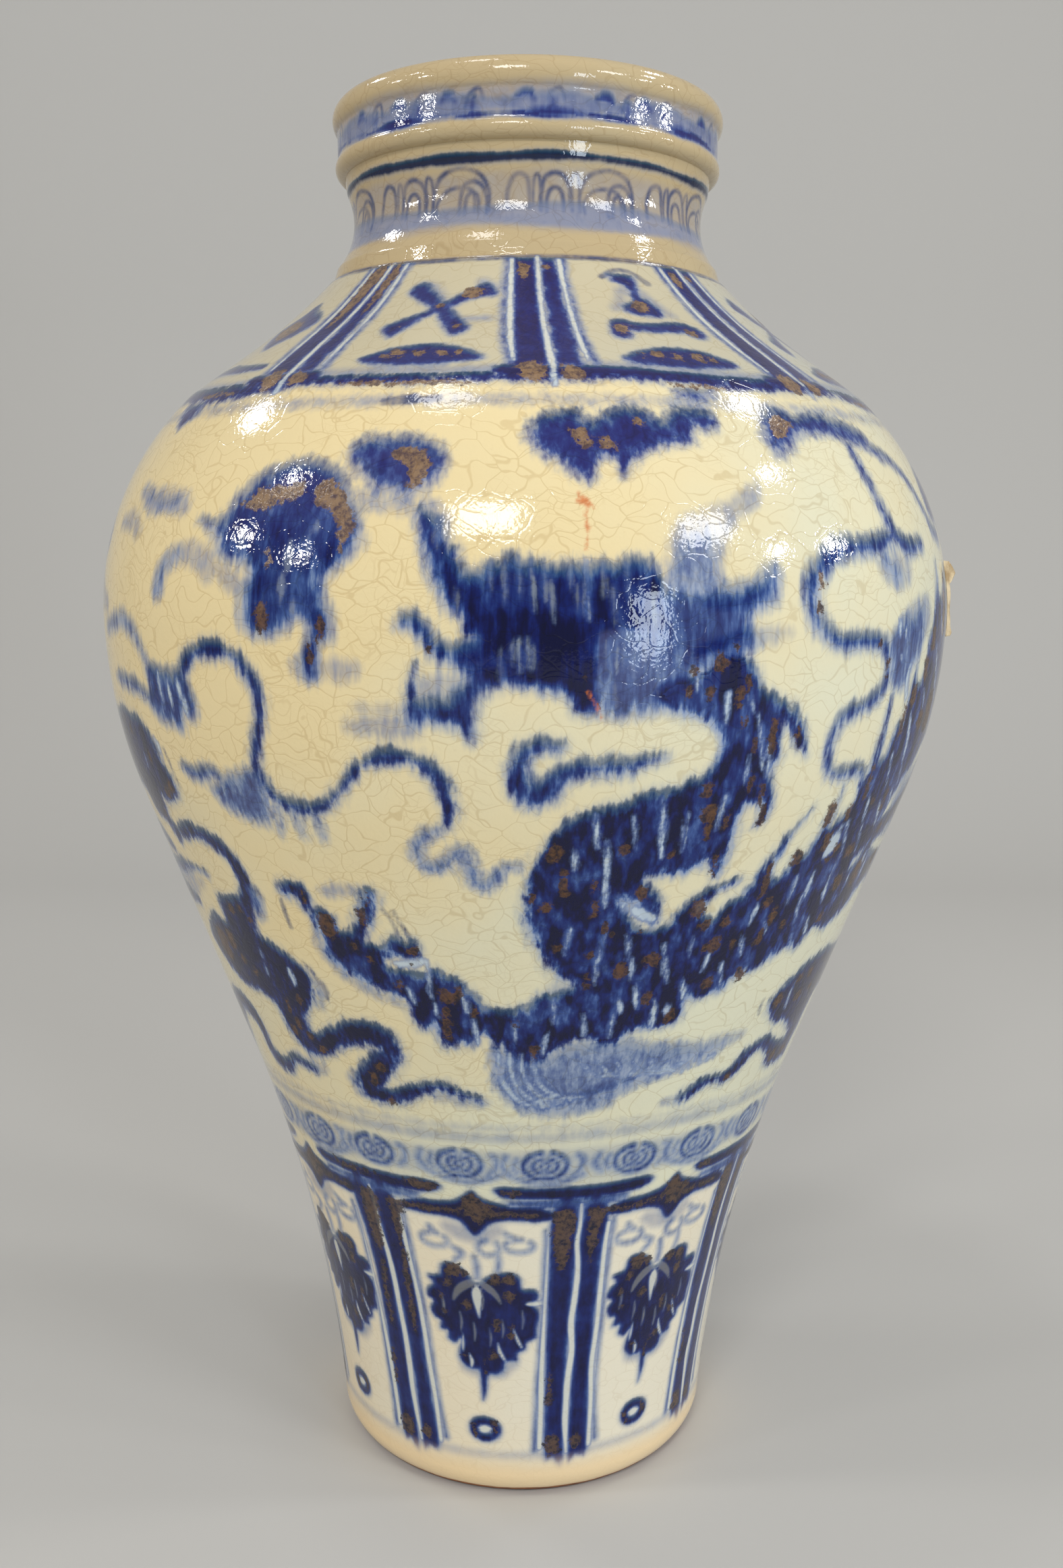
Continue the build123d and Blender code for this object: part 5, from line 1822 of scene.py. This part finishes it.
def label_sheet():
    """Torn scrap of paper, a narrow curled strip with a folded corner standing off at its top.

    The sheet is a grid: u runs round the wall from the stuck edge to the free one, v runs up.
    Its width is a narrow strip that widens at the top corner and a little at the foot. Its
    distance off the wall grows as u squared, most at the top. A second skin closes it.
    """
    across, up = 18, 60
    u, v = np.meshgrid(np.linspace(0, 1, across), np.linspace(0, 1, up), indexing="ij")
    corner = np.clip((v - 0.70) / 0.26, 0, 1) ** 0.7 * np.clip((1.02 - v) / 0.14, 0, 1)
    knob = np.exp(-(((v - 0.04) / 0.06) ** 2))
    torn = 0.10 * np.sin(31 * v) + 0.07 * np.sin(57 * v + 1)
    width = 0.9 + 2.1 * corner + 0.8 * knob + torn
    height = 315.6 + 26.0 * v - 1.6 * u * corner
    lift = 0.45 + u**2 * (0.5 + 2.9 * corner + 0.7 * knob) + 0.4 * u * np.sin(7 * v + 0.6) ** 2
    turn = np.radians(70.3 - 0.5 * corner + width * u + 0.25 * np.sin(6 * v))
    wall_at = np.interp(height, wall_height, wall_radius) * SNUG
    skins = []
    for thickness in (0.0, 0.3):
        radius = wall_at + lift + thickness
        skins.append(np.stack([radius * np.sin(turn), -radius * np.cos(turn), height], axis=2))
    points = np.concatenate([skins[0].reshape(-1, 3), skins[1].reshape(-1, 3)]) * 0.001
    grid = np.arange(across * up).reshape(across, up)
    quads = np.stack([grid[:-1, :-1], grid[1:, :-1], grid[1:, 1:], grid[:-1, 1:]], axis=2)
    quads = quads.reshape(-1, 4)
    shift = across * up
    rim = np.concatenate([grid[:, 0], grid[-1, 1:], grid[-2::-1, -1], grid[0, -2:0:-1]])
    following = np.roll(rim, -1)
    side = np.stack([rim, following, following + shift, rim + shift], axis=1)
    faces = np.concatenate([quads[:, ::-1], quads + shift, side])
    return smooth_piece("torn_label", points.tolist(), faces.tolist())


def label_finish():
    """Aged blank paper: cream with tan and pinkish stains, fibres and a soft tooth."""
    material, tree, shader = new_material("aged_label_paper")
    where = object_place(tree)
    stain = noise(tree, where, 7, 4, 0.6)
    fibre = noise(tree, where, 0.8, 3, 0.7)
    paper = mixed(ramp(stain, -0.15, 0.2), colour(216, 198, 162), colour(164, 138, 100))
    paper = mixed(ramp(fibre, 0.05, 0.3, 0.0, 0.5), paper, colour(238, 228, 208))
    bump = place(tree, "ShaderNodeBump", {"Strength": 0.5, "Distance": 0.0002, "Height": fibre})
    feed(tree, paper, shader.inputs["Base Color"])
    feed(tree, ramp(stain, -0.2, 0.2, 0.72, 0.9), shader.inputs["Roughness"])
    feed(tree, bump.outputs[0], shader.inputs["Normal"])
    return material


label = label_sheet()
label.data.materials.append(label_finish())
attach(label, "root")
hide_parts("paper_label")

# ---------------------------------------------------------------- studio


def backdrop():
    """Floor that sweeps up into a wall: a flat run, a quarter circle and an upright run."""
    quarter = np.linspace(0, math.pi / 2, 24)
    run = np.concatenate([
        np.array([[-2.6, -0.0003], [0.9, -0.0003]]),
        np.stack([0.9 + 0.7 * np.sin(quarter), 0.7 - 0.7 * np.cos(quarter) - 0.0003], axis=1)[1:],
        np.array([[1.6, 3.0]]),
    ])
    wide = np.array([-2.6, 2.6])
    points = [(x, y, z) for x in wide for y, z in run]
    count = len(run)
    faces = [(i, i + count, i + count + 1, i + 1) for i in range(count - 1)]
    material, _, shader = new_material("pale_sweep")
    shader.inputs["Base Color"].default_value = (0.54, 0.535, 0.52, 1)
    shader.inputs["Roughness"].default_value = 0.9
    sweep = smooth_piece("paper_sweep", points, faces)
    sweep.data.materials.append(material)


def lamp(name, at, towards, size, power, tint=(1, 1, 1)):
    """Soft rectangular lamp at a place in metres, turned to face another."""
    light = bpy.data.lights.new(name, "AREA")
    light.shape = "RECTANGLE"
    light.size, light.size_y = size
    light.energy = power
    light.color = tint
    lamp_object = bpy.data.objects.new(name, light)
    lamp_object.location = at
    direction = np.array(towards, float) - np.array(at, float)
    lamp_object.rotation_euler = Vector(direction).to_track_quat("-Z", "Y").to_euler()
    bpy.context.scene.collection.objects.link(lamp_object)


MIDDLE = (0, 0, 0.35)

backdrop()
lamp("ceiling_front", (-0.32, -1.71, 1.56), MIDDLE, (0.56, 0.38), 12.8, (1.0, 0.98, 0.94))
lamp("ceiling_right", (1.40, -1.24, 1.34), MIDDLE, (0.50, 0.32), 7.8)
lamp("ceiling_above", (-0.50, -0.20, 2.33), MIDDLE, (0.36, 0.30), 3.2)
lamp("ceiling_far_left", (-1.38, 0.62, 1.71), MIDDLE, (0.34, 0.22), 3.6)
lamp("ceiling_far_right", (1.18, 0.41, 1.97), MIDDLE, (0.34, 0.22), 3.6)
for number, at in enumerate((
    (-1.56, -0.48, 1.65), (-1.92, -0.41, 1.09), (-1.72, -1.05, 1.00),
    (1.60, -0.26, 1.65), (1.84, -0.77, 1.03), (2.00, -0.12, 0.97),
)):
    lamp(f"side_{number}", at, (0, 0, 0.33), (0.22, 0.13), 3.2, (1.0, 0.97, 0.92))
lamp("window", (1.08, -1.85, 0.30), (0, 0, 0.30), (0.30, 0.86), 11, (0.80, 0.90, 1.0))

world = bpy.data.worlds.new("studio")
bpy.context.scene.world = world
world.use_nodes = True
world.node_tree.nodes["Background"].inputs["Color"].default_value = (0.335, 0.33, 0.32, 1)
world.node_tree.nodes["Background"].inputs["Strength"].default_value = 1.0

camera_data = bpy.data.cameras.new("camera")
camera_data.sensor_fit = "VERTICAL"
camera_data.sensor_height = 36.0
camera_data.lens = 33.9
camera = bpy.data.objects.new("camera", camera_data)
pitch = Matrix.Rotation(math.radians(90 - 9.35), 4, "X")
roll = Matrix.Rotation(math.radians(0.32), 4, "Z")
camera.matrix_world = Matrix.Translation((0.00265, -0.5655, 0.3475)) @ pitch @ roll
bpy.context.scene.collection.objects.link(camera)
bpy.context.scene.camera = camera
bpy.context.scene.view_settings.view_transform = "Standard"
